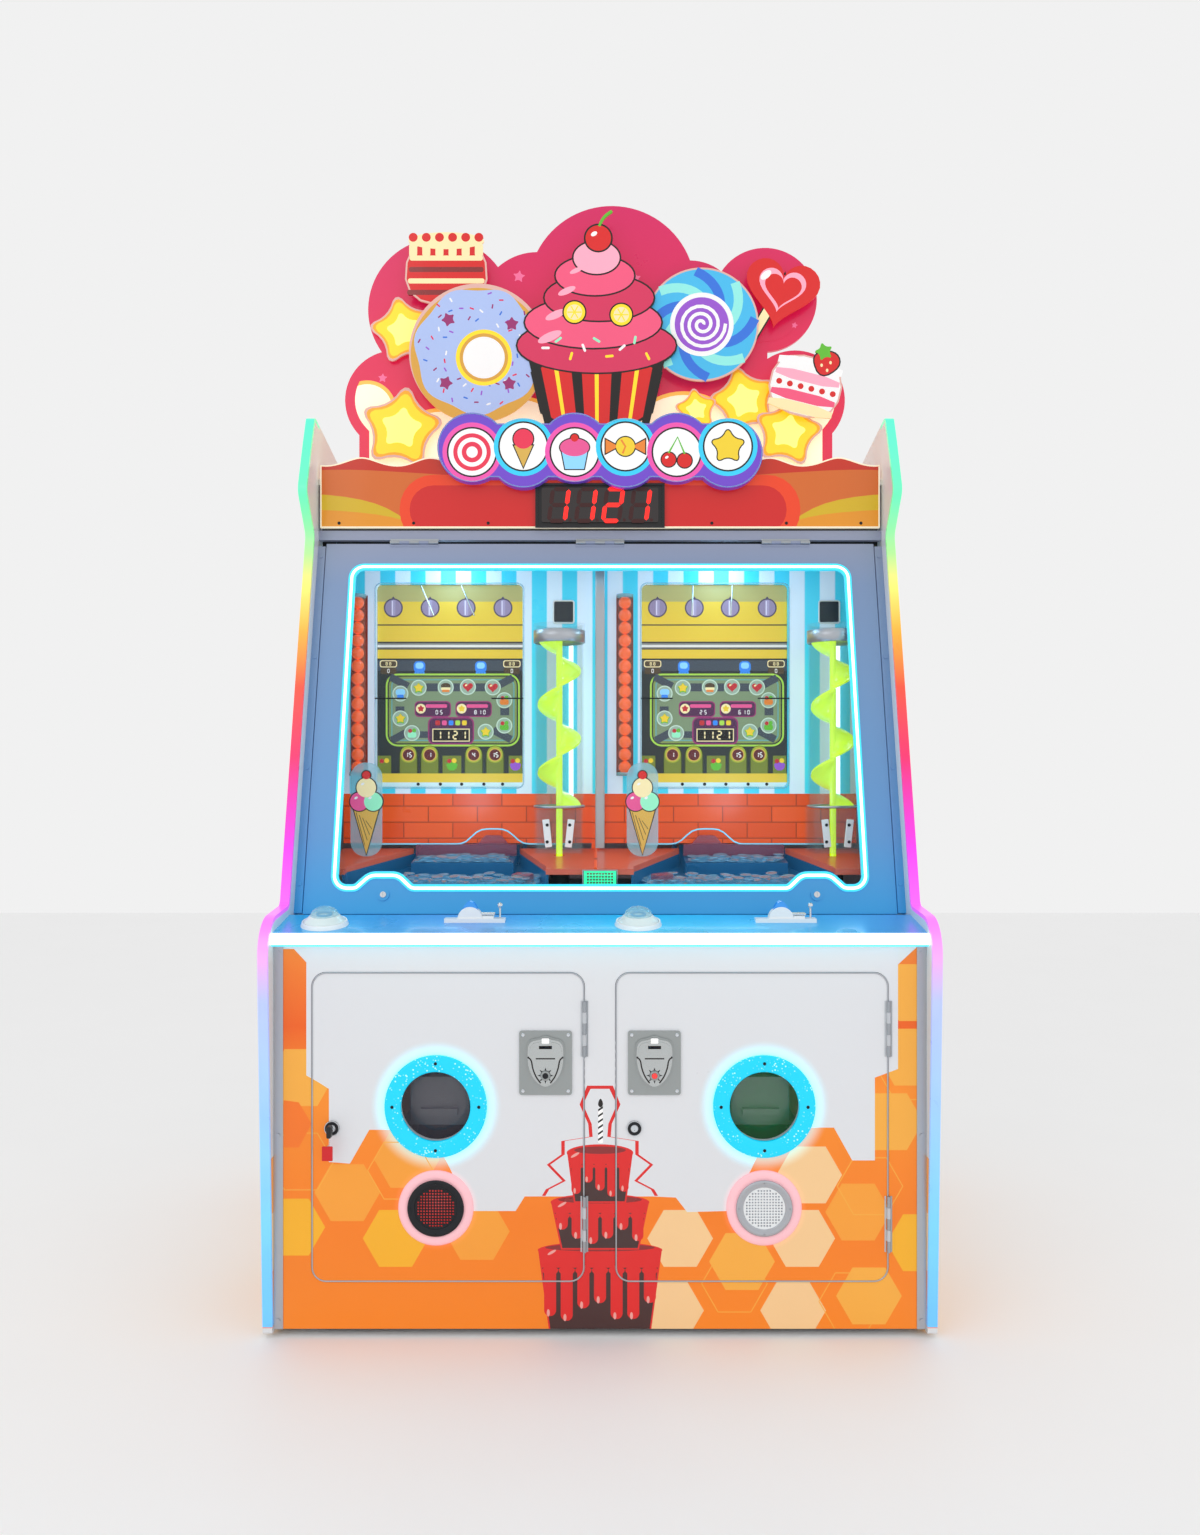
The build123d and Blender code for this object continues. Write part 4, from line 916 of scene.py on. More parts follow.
def coin_plates():
    for side in SIDES:
        body = "door_" + side
        centre = middle("coin_plate_" + side)
        x, z = centre.x, centre.z
        y = PANEL_FRONT
        slot_hole = box2(x - 12, x + 12, z + 27, z + 33)
        button_hole = circle(x, z - 22, 9.6)
        plate = pill(x, z, 98, 119, 5)
        sheet_art("coin_plate_base_" + side, [("satin_plate", plate)], y - 4, 4, body, None,
                  [slot_hole, button_hole], replaces=("coin_plate_" + side,))
        for name, scale, depth, material in (("rim", 1.0, 6.5, "satin_plate"),
                                             ("face", 0.93, 8.2, "shield_plate"),
                                             ("crown", 0.84, 9.4, "shield_plate")):
            sheet_art(f"coin_plate_{name}_{side}", [(material, shield_outline(x, z, scale))], y - depth,
                      4.5, body,
                      None, [slot_hole, button_hole])
        marks = []
        # Dark ink lines along the plate's pressed grooves: painted shade in the grooves.
        for sign in (-1, 1):
            groove = [(x + sign * 33, z + 12), (x + sign * 26, z + 7), (x + sign * 24, z - 8),
                      (x + sign * 18, z - 24),
                      (x + sign * 9, z - 36)]
            marks.append(("ink", stroke(smooth_line(groove), 2.6)))
        marks.append(("ink", box2(x - 18, x + 18, z + 8, z + 10.4)))
        marks.append(("pure_white", pill(x, z + 42, 14, 10, 2)))
        for i in range(8):
            angle = 45 * i
            ray = turned([(x - 1.6, z - 22 + 10), (x + 1.6, z - 22 + 10), (x, z - 22 + 15)], x, z - 22,
                         angle)
            marks.append(("dark_metal", ray))
        sheet_art("coin_plate_marks_" + side, marks, y - 9.7, 0.4, body, None, [slot_hole])
        for dx in (-42, 42):
            for dz in (-52, 52):
                tag = f"coin_plate_screw_{side}_{'l' if dx < 0 else 'r'}{'b' if dz < 0 else 't'}"
                screw_head(tag, (x + dx, y - 4, z + dz), FORWARD, 3.6, "chrome", body)
        face = "button_red" if side == "right" else "dark_metal"
        profile = [(0, 0), (9, 0), (9, 10), (8.2, 11.4), (6.2, 12), (5.4, 11), (0, 11)]
        turned_body("return_button_cap_" + side, profile, (x, y - 2, z - 22), FORWARD, "satin_plate",
                    "return_button_" + side, 40, replaces=("return_button_" + side,))
        lens = [(0, 0), (5.2, 0), (5.2, 0.6), (3.8, 1.4), (0, 1.9)]
        turned_body("return_button_lens_" + side, lens, (x, y - 13, z - 22), FORWARD, face,
                    "return_button_" + side, 32)


def shield_outline(x, z, scale):
    half = [(0, 53), (12, 47), (27, 45), (35, 36), (36, 12), (33, -12), (22, -34), (0, -50)]
    whole = half + [(-a, b) for a, b in half[-2:0:-1]]
    return softened([(x + a * scale, z + b * scale) for a, b in whole], 2)[::-1]


def smooth_line(points, times=2):
    for _ in range(times):
        cut = [points[0]]
        for (ax, az), (bx, bz) in zip(points, points[1:]):
            cut.append((ax * 0.75 + bx * 0.25, az * 0.75 + bz * 0.25))
            cut.append((ax * 0.25 + bx * 0.75, az * 0.25 + bz * 0.75))
        points = cut + [points[-1]]
    return points


def door_locks():
    """Lock collars on both doors, and the key with its tag in the left one."""
    for side in SIDES:
        x = middle("door_lock_" + side).x if side == "right" else -498.0
        z = 388.0
        collar = [(6.3, 0), (14, 0), (14, 2.5), (12.5, 4.2), (9, 4.6), (7.2, 4.2), (6.3, 3.6)]
        turned_body("lock_collar_" + side, collar, (x, PANEL_FRONT, z), FORWARD, "dark_metal",
                    "door_" + side,
                    48, closed=True)
    x, y, z, body = -498.0, PANEL_FRONT, 388.0, "door_lock_left"
    plug = [(0, 0), (5.8, 0), (5.8, 26), (5.2, 27), (1.2, 27), (1.2, 26), (0, 26)]
    turned_body("lock_plug_left", plug, (x, y + 22, z), FORWARD, "chrome", body, 32,
                replaces=("door_lock_left",))
    block_piece("lock_cam_left", (14, 3, 55), (x, y + 20.5, z + 20.5), 0.8, "chrome", body)
    block_piece("key_blade", (2, 14, 8), (x, y - 9, z), 0.5, "chrome", body)
    block_piece("key_head", (9, 18, 22), (x, y - 23, z), 3.4, "black_plastic", body)
    loop = [(x, y - 30, z - 8), (x + 3, y - 30.5, z - 14), (x + 1, y - 28, z - 22), (x - 3, y - 27, z - 26)]
    cable("key_ring_wire", loop, 0.7, "chrome", body)
    block_piece("key_tag", (20, 4, 27), (x - 3, y - 27, z - 39), 1.8, "tag_red", body)


# ---------------------------------------------------------------- console
def start_buttons():
    for side in SIDES:
        node = "start_button_" + side
        joint = next(j for j in frame["joints"] if j["child"] == node)
        axis = -Vector(joint["axis"])
        x = middle(node).x
        y = START_Y
        z = CONSOLE_EDGE.z + math.tan(CONSOLE_SLOPE) * (y - CONSOLE_EDGE.y)
        skirt = [(0, 4.5), (39, 4.5), (39.2, 6.5), (38, 9), (33, 13), (28.5, 17.5), (27, 19), (0, 19)]
        turned_body("start_skirt_" + side, skirt, (x, y, z), axis, "dome_glow", node, 64,
                    replaces=(node,))
        dome = [(26.4, 18), (26.4, 20), (24.5, 25.5), (20, 30.2), (13, 33.6), (6, 35.2), (0, 35.6)]
        turned_body("start_dome_" + side, dome + [(0, 18)], (x, y, z), axis, "clear_edge", node, 64)
        emblem = [(12, 19), (15, 19), (15, 22), (12, 22)]
        turned_body("start_emblem_" + side, emblem, (x, y, z), axis, "frame_metal", node, 48, closed=True)
        stem = [(0, -33.5), (11.8, -33.5), (11.8, 4.6), (0, 4.6)]
        turned_body("start_stem_" + side, stem, (x, y, z), axis, "white_plastic", node, 32)


def window_strip():
    """A bright tube along the middle of the window's light channel."""
    lean = Matrix.Rotation(WINDOW_LEAN, 4, "X") @ Matrix.Translation(-WINDOW_FOOT * MM)
    spots = [lean @ vert.co for vert in frame["nodes"]["window_light"].data.vertices]
    front = min(spot.y for spot in spots) / MM
    back = max(spot.y for spot in spots) / MM
    loops = face_loops("window_light", 1, front, (0, 2), lean)
    back_turn = Matrix.Rotation(-WINDOW_LEAN, 3, "X")

    def place(point):
        return tuple(WINDOW_FOOT + back_turn @ Vector(point))

    sheet_art("window_light_channel", [("strip_base", loops[0])], front + 1.5, back - front - 1.5,
              "window", loops[:1],
              loops[1:2], place=place, replaces=("window_light",))
    core = [place((x, front + 4.2, v)) for x, v in grown(loops[0], -7.0)]
    cable("window_light_tube", core, 4.2, "led_white", "window", closed=True)


def console_details():
    low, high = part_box("console_light")
    lip = [(x, low.y / MM + 1.5, low.z / MM - 1.6) for x in (low.x / MM + 2, high.x / MM - 2)]
    cable("console_cyan_lip", lip, 1.4, "cyan_lip", "cabinet")
    for sign in (-1, 1):
        x = sign * STATION + RAIL_DX
        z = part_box("coin_rails")[0].z / MM + 8
        guard = [(0, 0), (19, 0), (17, 8), (11, 20), (6, 26), (0, 28)]
        for offset in (-1, 1):
            ball = (x - 7, RAIL_Y + offset * 6.3, z + 6)
            half_round(f"slot_guard_{'left' if sign < 0 else 'right'}_{'front' if offset < 0 else 'back'}",
                       ball, guard)
        for offset in (-6, 6):
            name = f"rail_bar_{'left' if sign < 0 else 'right'}_{'front' if offset < 0 else 'back'}"
            bar = [(x + 11, RAIL_Y + offset, z + 9), (x + 40, RAIL_Y + offset, z + 9)]
            cable(name, bar, 2.6, "chrome", "cabinet")


def half_round(name, centre, profile):
    """A thin dome-shaped guard plate beside the coin slot."""
    points = [(centre[0] + r, centre[2] + h) for r, h in profile] + [(centre[0] - r, centre[2] + h) for r,
                                                                     h in profile[::-1]]
    sheet_art(name, [("guard_blue", softened(points, 1))], centre[1] - 1.5, 3.0, "cabinet")


# ---------------------------------------------------------------- screens
def screen_ui(x, z, counts, goals):
    """What the monitor shows: an oven front with knobs, a board game track with icons, counters and prizes."""
    def at(u, v):
        return x + u, z + v
    half_w, half_h = 163.5, 227.0
    shapes = [("ui_yellow", box2(x - half_w, x + half_w, z - half_h, z + half_h))]
    shapes.append(("ui_yellow_top", box2(x - half_w, x + half_w, z + 190, z + half_h)))
    shapes.append(("ui_line", box2(x - half_w, x + half_w, z + 136, z + 139)))
    for low, high, tone in ((82, 100, "ui_bar_dark"), (85, 96, "ui_bar_mid"), (88, 92, "ui_bar_light")):
        shapes.append((tone, box2(x - half_w, x + half_w, z + low, z + high)))
    for u in (-128, -45, 36, 119):
        cx, cz = at(u, 176)
        shapes.append(("ui_violet_dark", circle(cx, cz, 21.5)))
        shapes.append(("ui_violet_dark", [(cx - 6, cz + 18), (cx + 6, cz + 18), (cx, cz + 26)]))
        shapes.append(("ui_lilac_dark", circle(cx, cz, 18.5)))
        shapes.append(("ui_lilac", pill(cx, cz, 9.5, 36, 4)))
        shapes.append(("ui_lilac_light", pill(cx - 2, cz, 2.4, 32, 1.1)))
    shapes.append(("ui_dark", box2(x - half_w, x + half_w, z - 197, z + 62)))
    shapes.append(("ui_slate", box2(x - half_w, x + half_w, z + 34, z + 58)))
    for sign in (-1, 1):
        cx, cz = at(sign * 139, 46)
        shapes += [("ui_cream", pill(cx, cz + 4, 39, 16, 5)), ("ui_brown", pill(cx, cz + 4, 35, 12, 4))]
        shapes += number("88", cx, cz + 4, 7, 1.4, 8, "ui_cream")
        shapes += [("ui_brown", pill(cx, cz - 12, 36, 14, 4))] + number("0", cx, cz - 12, 8, 1.6, 8,
                                                                        "pure_white")
        dx, dz = at(sign * 69, 33)
        shapes.append(("ui_blue", pill(dx, dz + 10, 26, 26, 9)))
        shapes.append(("ui_sky", pill(dx, dz + 13, 18, 14, 6)))
        for leg in (-9, -3, 3, 9):
            shapes.append(("ui_blue", pill(dx + leg, dz - 10 - abs(leg) * 0.3, 5, 24, 2.4)))
    board = at(6, -54)
    for grow, tone in ((0, "ui_lime"), (4, "ui_dark"), (7, "ui_khaki"), (12, "ui_teal"), (15, "ui_field")):
        shapes.append((tone, pill(board[0], board[1], 302 - 2 * grow, 164 - 2 * grow, 27 - grow)))
    for u, v, w, h, turn in ((-115, 10, 46, 17, -28), (121, 8, 46, 17, 28), (-112, -112, 46, 17, 28),
                             (117, -110, 46, 17, -28)):
        shapes.append(("ui_slate", turned(box2(x + u - w / 2, x + u + w / 2, z + v - h / 2,
                                               z + v + h / 2), x + u, z + v, turn)))
    for u in (-42, 8, 66):
        shapes.append(("ui_slate", box2(x + u - 12, x + u + 14, z - 12, z + 6)))
    for u in (-113, 123):
        shapes.append(("ui_slate", box2(x + u - 10, x + u + 10, z - 66, z - 46)))
    shapes.append(("ui_slate", box2(x - 70, x - 40, z - 117, z - 102)))
    shapes.append(("ui_slate", box2(x + 66, x + 88, z - 117, z - 102)))
    tokens = ((-112, -17, "ui_blue"), (-71, -4, "ui_star"), (-10, -3, "ui_bun"), (40, -2, "ui_red"),
              (96, -3, "ui_red"),
              (122, -32, "ui_orange"), (122, -89, "ui_green"), (80, -103, "ui_star"),
              (-86, -106, "ui_mint"),
              (-112, -73, "ui_star"))
    for u, v, tone in tokens:
        cx, cz = at(u, v)
        shapes += [("ui_ring", circle(cx, cz, 18)), ("ui_disc", circle(cx, cz, 15.5))]
        if tone == "ui_star":
            shapes += [("ui_green", star(cx, cz - 1, 14.5)), ("ui_star", star(cx, cz, 12))]
        elif tone == "ui_blue":
            shapes += [("ui_sky", pill(cx, cz + 3, 21, 14, 6)), ("ui_blue", pill(cx, cz - 7, 15, 9, 3))]
        elif tone == "ui_bun":
            shapes += [("ui_brown", oval(cx, cz + 3, 11, 7)), ("ui_cream", pill(cx, cz - 3, 21, 6, 2.5)),
                       ("ui_orange", pill(cx, cz - 8, 17, 5, 2))]
        elif tone == "ui_red":
            shapes += [("ui_red", heart(cx, cz, 11.5)), ("ui_cream", oval(cx - 4, cz + 4, 3, 2, 30))]
        else:
            shapes += [(tone, pill(cx, cz - 4, 20, 13, 5)), ("ui_red", circle(cx - 4, cz + 5, 4.5)),
                       ("ui_green", circle(cx + 5, cz + 6, 4.5))]
    for u, text in ((-39, goals[0]), (53, goals[1])):
        cx, cz = at(u, -52)
        shapes += [("ui_magenta", pill(cx, cz, 82, 36, 10)), ("ui_plum", pill(cx, cz, 77, 31, 8))]
        shapes += [("ui_pink", pill(cx + 8, cz + 7, 48, 8, 3))]
        shapes += [("ui_cream", circle(cx - 27, cz + 1, 11)),
                   ("ui_red" if u < 0 else "ui_star", star(cx - 27, cz + 1, 9))]
        shapes += number(text, cx + 14, cz - 7, 8.5, 1.7, 10, "pure_white")
    cx, cz = at(2, -101)
    shapes += [("ui_magenta", pill(cx, cz, 104, 62, 14)), ("ui_plum", pill(cx, cz, 98, 56, 12))]
    for i, tone in enumerate(("ui_red", "ui_pink", "ui_blue", "ui_lime", "ui_star")):
        shapes.append((tone, pill(cx - 30 + 15 * i, cz + 18, 11, 11, 3)))
    shapes += [("ui_cream", box2(cx - 42, cx + 42, cz - 24, cz + 5)),
               ("ink", box2(cx - 40, cx + 40, cz - 22, cz + 3))]
    shapes += number("1121", cx, cz - 9.5, 17, 3.2, 18.5, "ui_cream")
    for u, text in zip((-94, -46, 53, 101), counts):
        cx = x + u
        shapes += [("ui_olive_dark", pill(cx, z - 172, 43, 76, 21)),
                   ("ui_olive_dark", box2(cx - 21.5, cx + 21.5, z - 197, z - 170))]
        shapes += [("ui_olive", pill(cx, z - 172, 38, 70, 18.5)),
                   ("ui_olive", box2(cx - 19, cx + 19, z - 197, z - 172))]
        shapes += [("ui_egg", pill(cx, z - 154, 35, 37, 16)), ("ui_gold", circle(cx, z - 155, 15)),
                   ("ui_maroon", circle(cx, z - 155, 12.5))]
        shapes += number(text, cx, z - 155, 10, 2.2, 8.5, "pure_white")
    for u, tone in ((-148, "ui_olive"), (4, "ui_green"), (147, "ui_violet")):
        cx = x + u
        width = 30 if abs(u) > 100 else 42
        shapes += [("ui_olive", box2(cx - width / 2, cx + width / 2, z - 197, z - 157))]
        shapes += [(tone, softened([(cx - 14, z - 172), (cx + 14, z - 172), (cx + 9, z - 190),
                                    (cx - 9, z - 190)], 1))]
        shapes += [("ui_red", circle(cx - 6, z - 169, 5)), ("ui_star", circle(cx + 5, z - 168, 5.5))]
    shapes.append(("ui_yellow", box2(x - half_w, x + half_w, z - 217, z - 197)))
    shapes.append(("ui_pale", box2(x - half_w, x + half_w, z - 227, z - 217)))
    return shapes


UI_COLOURS = {
    "yellow": "D9B93A", "yellow_top": "A9A266", "line": "4C4430", "bar_dark": "3A3A36", "bar_mid": "8C8C86",
    "bar_light": "E0DEDA", "violet_dark": "4A3D55", "lilac_dark": "8B7D9C", "lilac": "9B90B0",
    "lilac_light": "CFC8DC",
    "dark": "242A2A", "slate": "3C4550", "cream": "E9D9A6", "brown": "4A3B28", "blue": "2E7FE0",
    "sky": "86C8F2",
    "lime": "9FCB4A", "khaki": "7A8A4A", "teal": "5E9C9C", "field": "74886A", "ring": "B8CFC0",
    "disc": "8FA797",
    "star": "DFC02E", "green": "5AAE2E", "bun": "C9762E", "red": "B5262E", "orange": "D97B2E",
    "mint": "8FE0B8",
    "magenta": "8E2A66", "plum": "4A2148", "pink": "D8508A", "olive": "6E7A2A", "olive_dark": "2F3A14",
    "egg": "9BA82E", "gold": "C9A24A", "maroon": "5A1D22", "violet": "8E4FC0", "pale": "BFD6DC",
}


def screens():
    for name, code in UI_COLOURS.items():
        finish("ui_" + name, code, 0.4, vary=0.03, scale=12, bump=0.0, coat=0.0, emit=0.34)
    for side, sign in SIDES.items():
        x = sign * STATION + SCREEN_DX
        z = SCREEN_Z
        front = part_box("monitors")[0].y / MM - 0.5
        details = (("15", "1", "4", "15"), ("05", "810")) if side == "left" else (("1", "1", "15", "15"),
                                                                                  ("25", "610"))
        clip = [pill(x, z, 327.5, 454.5, 12)]
        sheet_art("screen_picture_" + side, screen_ui(x, z, *details), front, 0.4, "cabinet", clip)
        frame_line = [(px, 22.6, pz) for px, pz in pill(x, z, 332, 459, 14)]
        cable("screen_rim_" + side, frame_line, 1.6, "clear_edge", "cabinet", closed=True)
        for i, u in enumerate((-72, -22, 26, 76, 118)):
            screw_head(f"screen_screw_{side}_{i + 1}", (x + u, front, z - 221), FORWARD, 3.6,
                       "dark_metal", "cabinet")
        for i, sign2 in enumerate((-1, 1)):
            y = 14.0
            pin = [(x + sign2 * 166, y, z - 29), (x + sign2 * 95, y, z - 29)]
            cable(f"screen_rail_{side}_{i + 1}", pin, 1.6, "black_steel", "cabinet")
        for i, (u, lean) in enumerate(((-62, 30), (28, 30)) if side == "left" else ((-50, -3), (38, -5))):
            rod = [(x + u, 12, z + 222), (x + u + lean, 2, z + 154)]
            cable(f"swing_rod_{side}_{i + 1}", rod, 1.9, "chrome", "cabinet")


# ---------------------------------------------------------------- inside the play cabinet
def divider():
    front = 6.0
    shapes = [("alloy", box2(-9.3, 9.3, 879, 1599))]
    sheet_art("divider_cover", shapes, front - 0.5, 1.0, "cabinet")
    for sign in (-1, 1):
        line = [(sign * 9.3, front - 0.2, 879), (sign * 9.3, front - 0.2, 1599)]
        cable(f"divider_edge_{'left' if sign < 0 else 'right'}", line, 1.1, "alloy", "cabinet")


def head_shade_strips():
    """Dark strips behind the joints over the window: painted shade in the gaps, so the bay's wall doesn't show
    through them.
    """
    block_piece("head_shade_strip_low", (1150, 3, 38), (0, -43, 1549), 1, "black_steel", "cabinet")
    block_piece("head_shade_strip_high", (1190, 3, 16), (0, -74.5, 1571), 1, "black_steel", "cabinet")


def ball_columns():
    for side, sign in SIDES.items():
        x, y = sign * STATION + BALL_DX, 6.0
        bm = bmesh.new()
        for i in range(14):
            ball = bmesh.ops.create_uvsphere(bm, u_segments=32, v_segments=16, radius=14 * MM)
            turn = Matrix.Rotation(random.uniform(0, 3), 3,
                                   Vector((random.uniform(-1, 1), 1, 0.4)).normalized())
            for vert in ball["verts"]:
                vert.co = turn @ vert.co + Vector((x, y, 1059 + 28.2 * i)) * MM
        balls = from_bmesh("balls_" + side, bm, "ball_orange")
        finish_piece(balls, "cabinet", ("ball_columns",) if side == "left" else ())
        tube = [(15.6, 1040), (17.5, 1040), (17.5, 1444), (15.6, 1444)]
        turned_body("ball_tube_" + side, tube, (x, y, 0), UP, "ball_cover", "cabinet", 40,
                    closed=True)
        block_piece("ball_channel_" + side, (38, 1.6, 404), (x, 22.8, SCREEN_Z), 0.5, "ball_channel",
                    "cabinet")
        for z in (1044, 1440):
            band = [(15.4, -4), (19, -4), (19, 4), (15.4, 4)]
            turned_body(f"ball_tube_band_{side}_{z}", band, (x, y, z), UP, "clear_edge", "cabinet", 40,
                        closed=True)


def lifts():
    """Clear lift tubes are the CAD's; the bands, brackets and outlets on them are added here."""
    for side, sign in SIDES.items():
        x, y = sign * STATION + LIFT_DX, -56.0
        for z, tall in ((974, 6), (1342, 28)):
            band = [(53.2, -tall / 2), (56, -tall / 2 + 1), (56, tall / 2 - 1), (53.2, tall / 2)]
            turned_body(f"lift_band_{side}_{z}", band, (x, y, z), UP, "alloy", "cabinet", 56, closed=True)
        for dx in (-24, 24):
            tag = f"{side}_{'l' if dx < 0 else 'r'}"
            block_piece("lift_bracket_" + tag, (15, 5, 60), (x + dx, y - 51.5, 918), 1.4, "white_plastic",
                        "cabinet",
                        Matrix.Rotation(math.radians(dx * 0.25), 3, "Y"))
            for dz in (900, 936):
                screw_head(f"lift_bracket_screw_{tag}_{dz}", (x + dx, y - 54, dz), FORWARD, 3.4,
                           "dark_metal", "cabinet")
        # A glowing strip inside each tube: painted white highlight down the tube's right side.
        highlight_line = [(x + 24, 9, 982), (x + 24, 9, 1338)]
        cable("lift_highlight_strip_" + side, highlight_line, 5, "led_white", "cabinet")
        # A dark sheet in the outlet's mouth behind its rim: painted shade of the hole.
        hole = [("outlet_painted_shade", pill(x + 7, 1407, 48, 52, 5))]
        sheet_art("lift_outlet_" + side, hole, 21.5, 2.2, "cabinet")
        lip = [(px, 20.5, pz) for px, pz in pill(x + 7, 1407, 46, 50, 5)]
        cable("lift_outlet_rim_" + side, lip, 1.8, "white_plastic", "cabinet", closed=True)


def figures():
    """Generic ice cream figures that stand in for the printed characters."""
    for side, sign in SIDES.items():
        x = sign * STATION + STANDEE_DX
        body = [("clear_edge", grown(pill(x, 968, 62, 196, 28), 3))]
        cone = [(x, 872), (x + 27, 968), (x - 27, 968)]
        body += outlined([("ui_gold", cone)], 2.2)
        for i in range(4):
            body.append(("ui_brown", stroke([(x - 22 + 7 * i, 962 - 6 * i),
                                             (x - 3 + 5 * i, 890 + 12 * i)], 1.4)))
        scoops = [("ui_pink", circle(x - 15, 985, 20)), ("ui_mint", circle(x + 15, 985, 20)),
                  ("ui_cream", circle(x, 1015, 21)),
                  ("cake_red", circle(x, 1042, 9))]
        body += outlined(scoops, 2.2)
        body += [("pure_white", oval(x - 8, 1023, 4, 2.5, 30)),
                 ("pure_white", oval(x - 22, 993, 4, 2.5, 30)),
                 ("pure_white", oval(x + 8, 993, 4, 2.5, 30))]
        sheet_art("standee_" + side, body, -81, 5, "cabinet",
                  replaces=("standees",) if side == "left" else ())


def deck_spot(point):
    """From the deck's own axes to the cabinet's."""
    return tuple(DECK_FOOT + deck_turn() @ Vector(point))


def deck_turn():
    return Matrix.Rotation(DECK_TILT, 3, "X")


def token_shape(bm, spot, turn, r):
    """One raised-rim token."""
    steps = 16
    profile = [(0, 0.3), (r * 0.8, 0.3), (r * 0.86, 0), (r, 0.2), (r, 1.6), (r * 0.86, 1.8),
               (r * 0.8, 1.5), (0, 1.5)]
    rings = spin(bm, profile, steps, turn, spot)
    skin(bm, list(zip(rings, rings[1:])), steps)


def scatter(name, body, x0, x1, y0, y1, floor, layers, clear=()):
    """Overlapping layers of loose tokens on a surface of the deck."""
    bm = bmesh.new()
    radius = 12.0
    base = deck_turn()
    for layer in range(layers):
        step = 21.5 + 2.5 * layer
        rows = int((y1 - y0) / (step * 0.87)) + 1
        for row in range(rows):
            y = y0 + row * step * 0.87
            if y > y1:
                break
            x = x0 + (row % 2) * step / 2 + layer * 5
            while x < x1:
                sx, sy = x + random.uniform(-2.5, 2.5), min(max(y + random.uniform(-2.5, 2.5), y0), y1)
                x += step
                if layer and random.random() < 0.3 + 0.04 * layer:
                    continue
                if not x0 <= sx <= x1:
                    continue
                if any(a <= sx <= b and c <= sy <= d for a, b, c, d in clear):
                    continue
                lean = Vector((random.uniform(-1, 1), random.uniform(-1, 1), 0)).normalized()
                tilt = Matrix.Rotation(math.radians(random.uniform(2, 7)), 3, lean)
                height = floor + 0.9 + 2.3 * layer + random.uniform(0, 0.6)
                spot = Vector(deck_spot((sx, sy, height)))
                token_shape(bm, spot, base @ tilt, radius)
    piece = from_bmesh(name, bm, "token", smooth=False)
    return finish_piece(piece, body)


def playfields():
    for side, sign in SIDES.items():
        x = sign * STATION
        scatter("bed_tokens_" + side, "cabinet", x - 204, x + 164, -212, -154, -40, 9)
        scatter("pusher_tokens_" + side, "pusher_" + side, x - 98, x + 96, -82, -38, -14, 5)
        bump = x - sign * 60
        line = []
        half = 232.0
        for i in range(41):
            px = x - half + 2 * half * i / 40
            top = 14 + 34 * math.exp(-((px - bump) / 52.0) ** 4)
            line.append(deck_spot((px, -21, top)))
        cable("shield_edge_" + side, line, 1.7, "shield_glow", "cabinet")
    pit = [("green_lit", box2(-33, 33, -51, -3))]
    holes = [pill(6.2 * i, -27 + 6.2 * j, 4.2, 4.2, 0.8) for i in range(-4, 5) for j in range(-3, 4)]
    sheet_art("payout_mesh", pit, -232.6, 1.2, "cabinet", None, holes, place=deck_spot)
    lip = [deck_spot((u, -233, v)) for u, v in ((-35, -53), (35, -53), (35, -1), (-35, -1))]
    cable("payout_rim", lip, 1.6, "alloy", "cabinet", closed=True)


# ---------------------------------------------------------------- head
def marquee():
    low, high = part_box("marquee_panel")
    front = low.y / MM
    loops = face_loops("marquee_panel", 1, front)
    half = high.x / MM
    shapes = [("sign_orange", box2(-half - 5, half + 5, low.z / MM - 5, high.z / MM + 5))]
    for shift, tone in ((0, "sign_yellow"), (34, "sign_gold")):
        for sign in (-1, 1):
            corner = [(sign * 700, 1500), (sign * (330 - shift), 1500),
                      (sign * (420 - shift), 1600 - shift * 0.6),
                      (sign * (520 - shift), 1640 - shift), (sign * 700, 1650 - shift)]
            shapes.append((tone, softened(corner, 2)))
    band = [(-700, 1690), (-560, 1700), (-380, 1690), (-180, 1676), (0, 1672), (180, 1676), (380, 1690),
            (560, 1700),
            (700, 1690), (700, 1760), (-700, 1760)]
    shapes.append(("sign_red", softened(band, 2)))
    shapes.append(("sign_ember", pill(0, 1612, 860, 150, 72)))
    shapes.append(("sign_capsule", pill(-4, 1612, 809, 104, 51)))
    rim = grown(loops[0], -3.5)
    shapes.append(("sign_cream", stroke(rim, 3.0, closed=True)[0]))
    inner = [(tone, points) for tone, points in shapes[:-1]]
    sheet_art("marquee_sign", [shapes[-1]] + [("sign_orange", grown(loops[0], -6.5))], front, 12, "cabinet",
              loops[:1], loops[1:], replaces=("marquee_panel",))
    sheet_art("marquee_print", inner, front - 0.4, 0.4, "cabinet", [grown(loops[0], -6.5)], loops[1:])
    for i in range(8):
        x = -560 + 160 * i
        screw_head(f"marquee_screw_{i + 1}", (x, front, 1583), FORWARD, 3.4, "dark_metal", "cabinet")


def display():
    low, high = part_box("digit_display")
    front = low.y / MM
    x, z = 0.0, (low.z + high.z) / 2 / MM
    glass = [("red_glass", pill(x, z, 250, 74, 4))]
    sheet_art("display_glass", glass, front - 0.3, 1.0, "cabinet")
    shapes = []
    for i, character in enumerate("1121"):
        shapes += digit(character, x - 88 + 58 * i, z, 68, 9.0, "red_led", "red_dim", 0.13)
        shapes.append(("red_dim", circle(x - 88 + 58 * i + 24, z - 32, 3.6, 16)))
    sheet_art("display_digits", shapes, front - 0.8, 0.8, "cabinet")


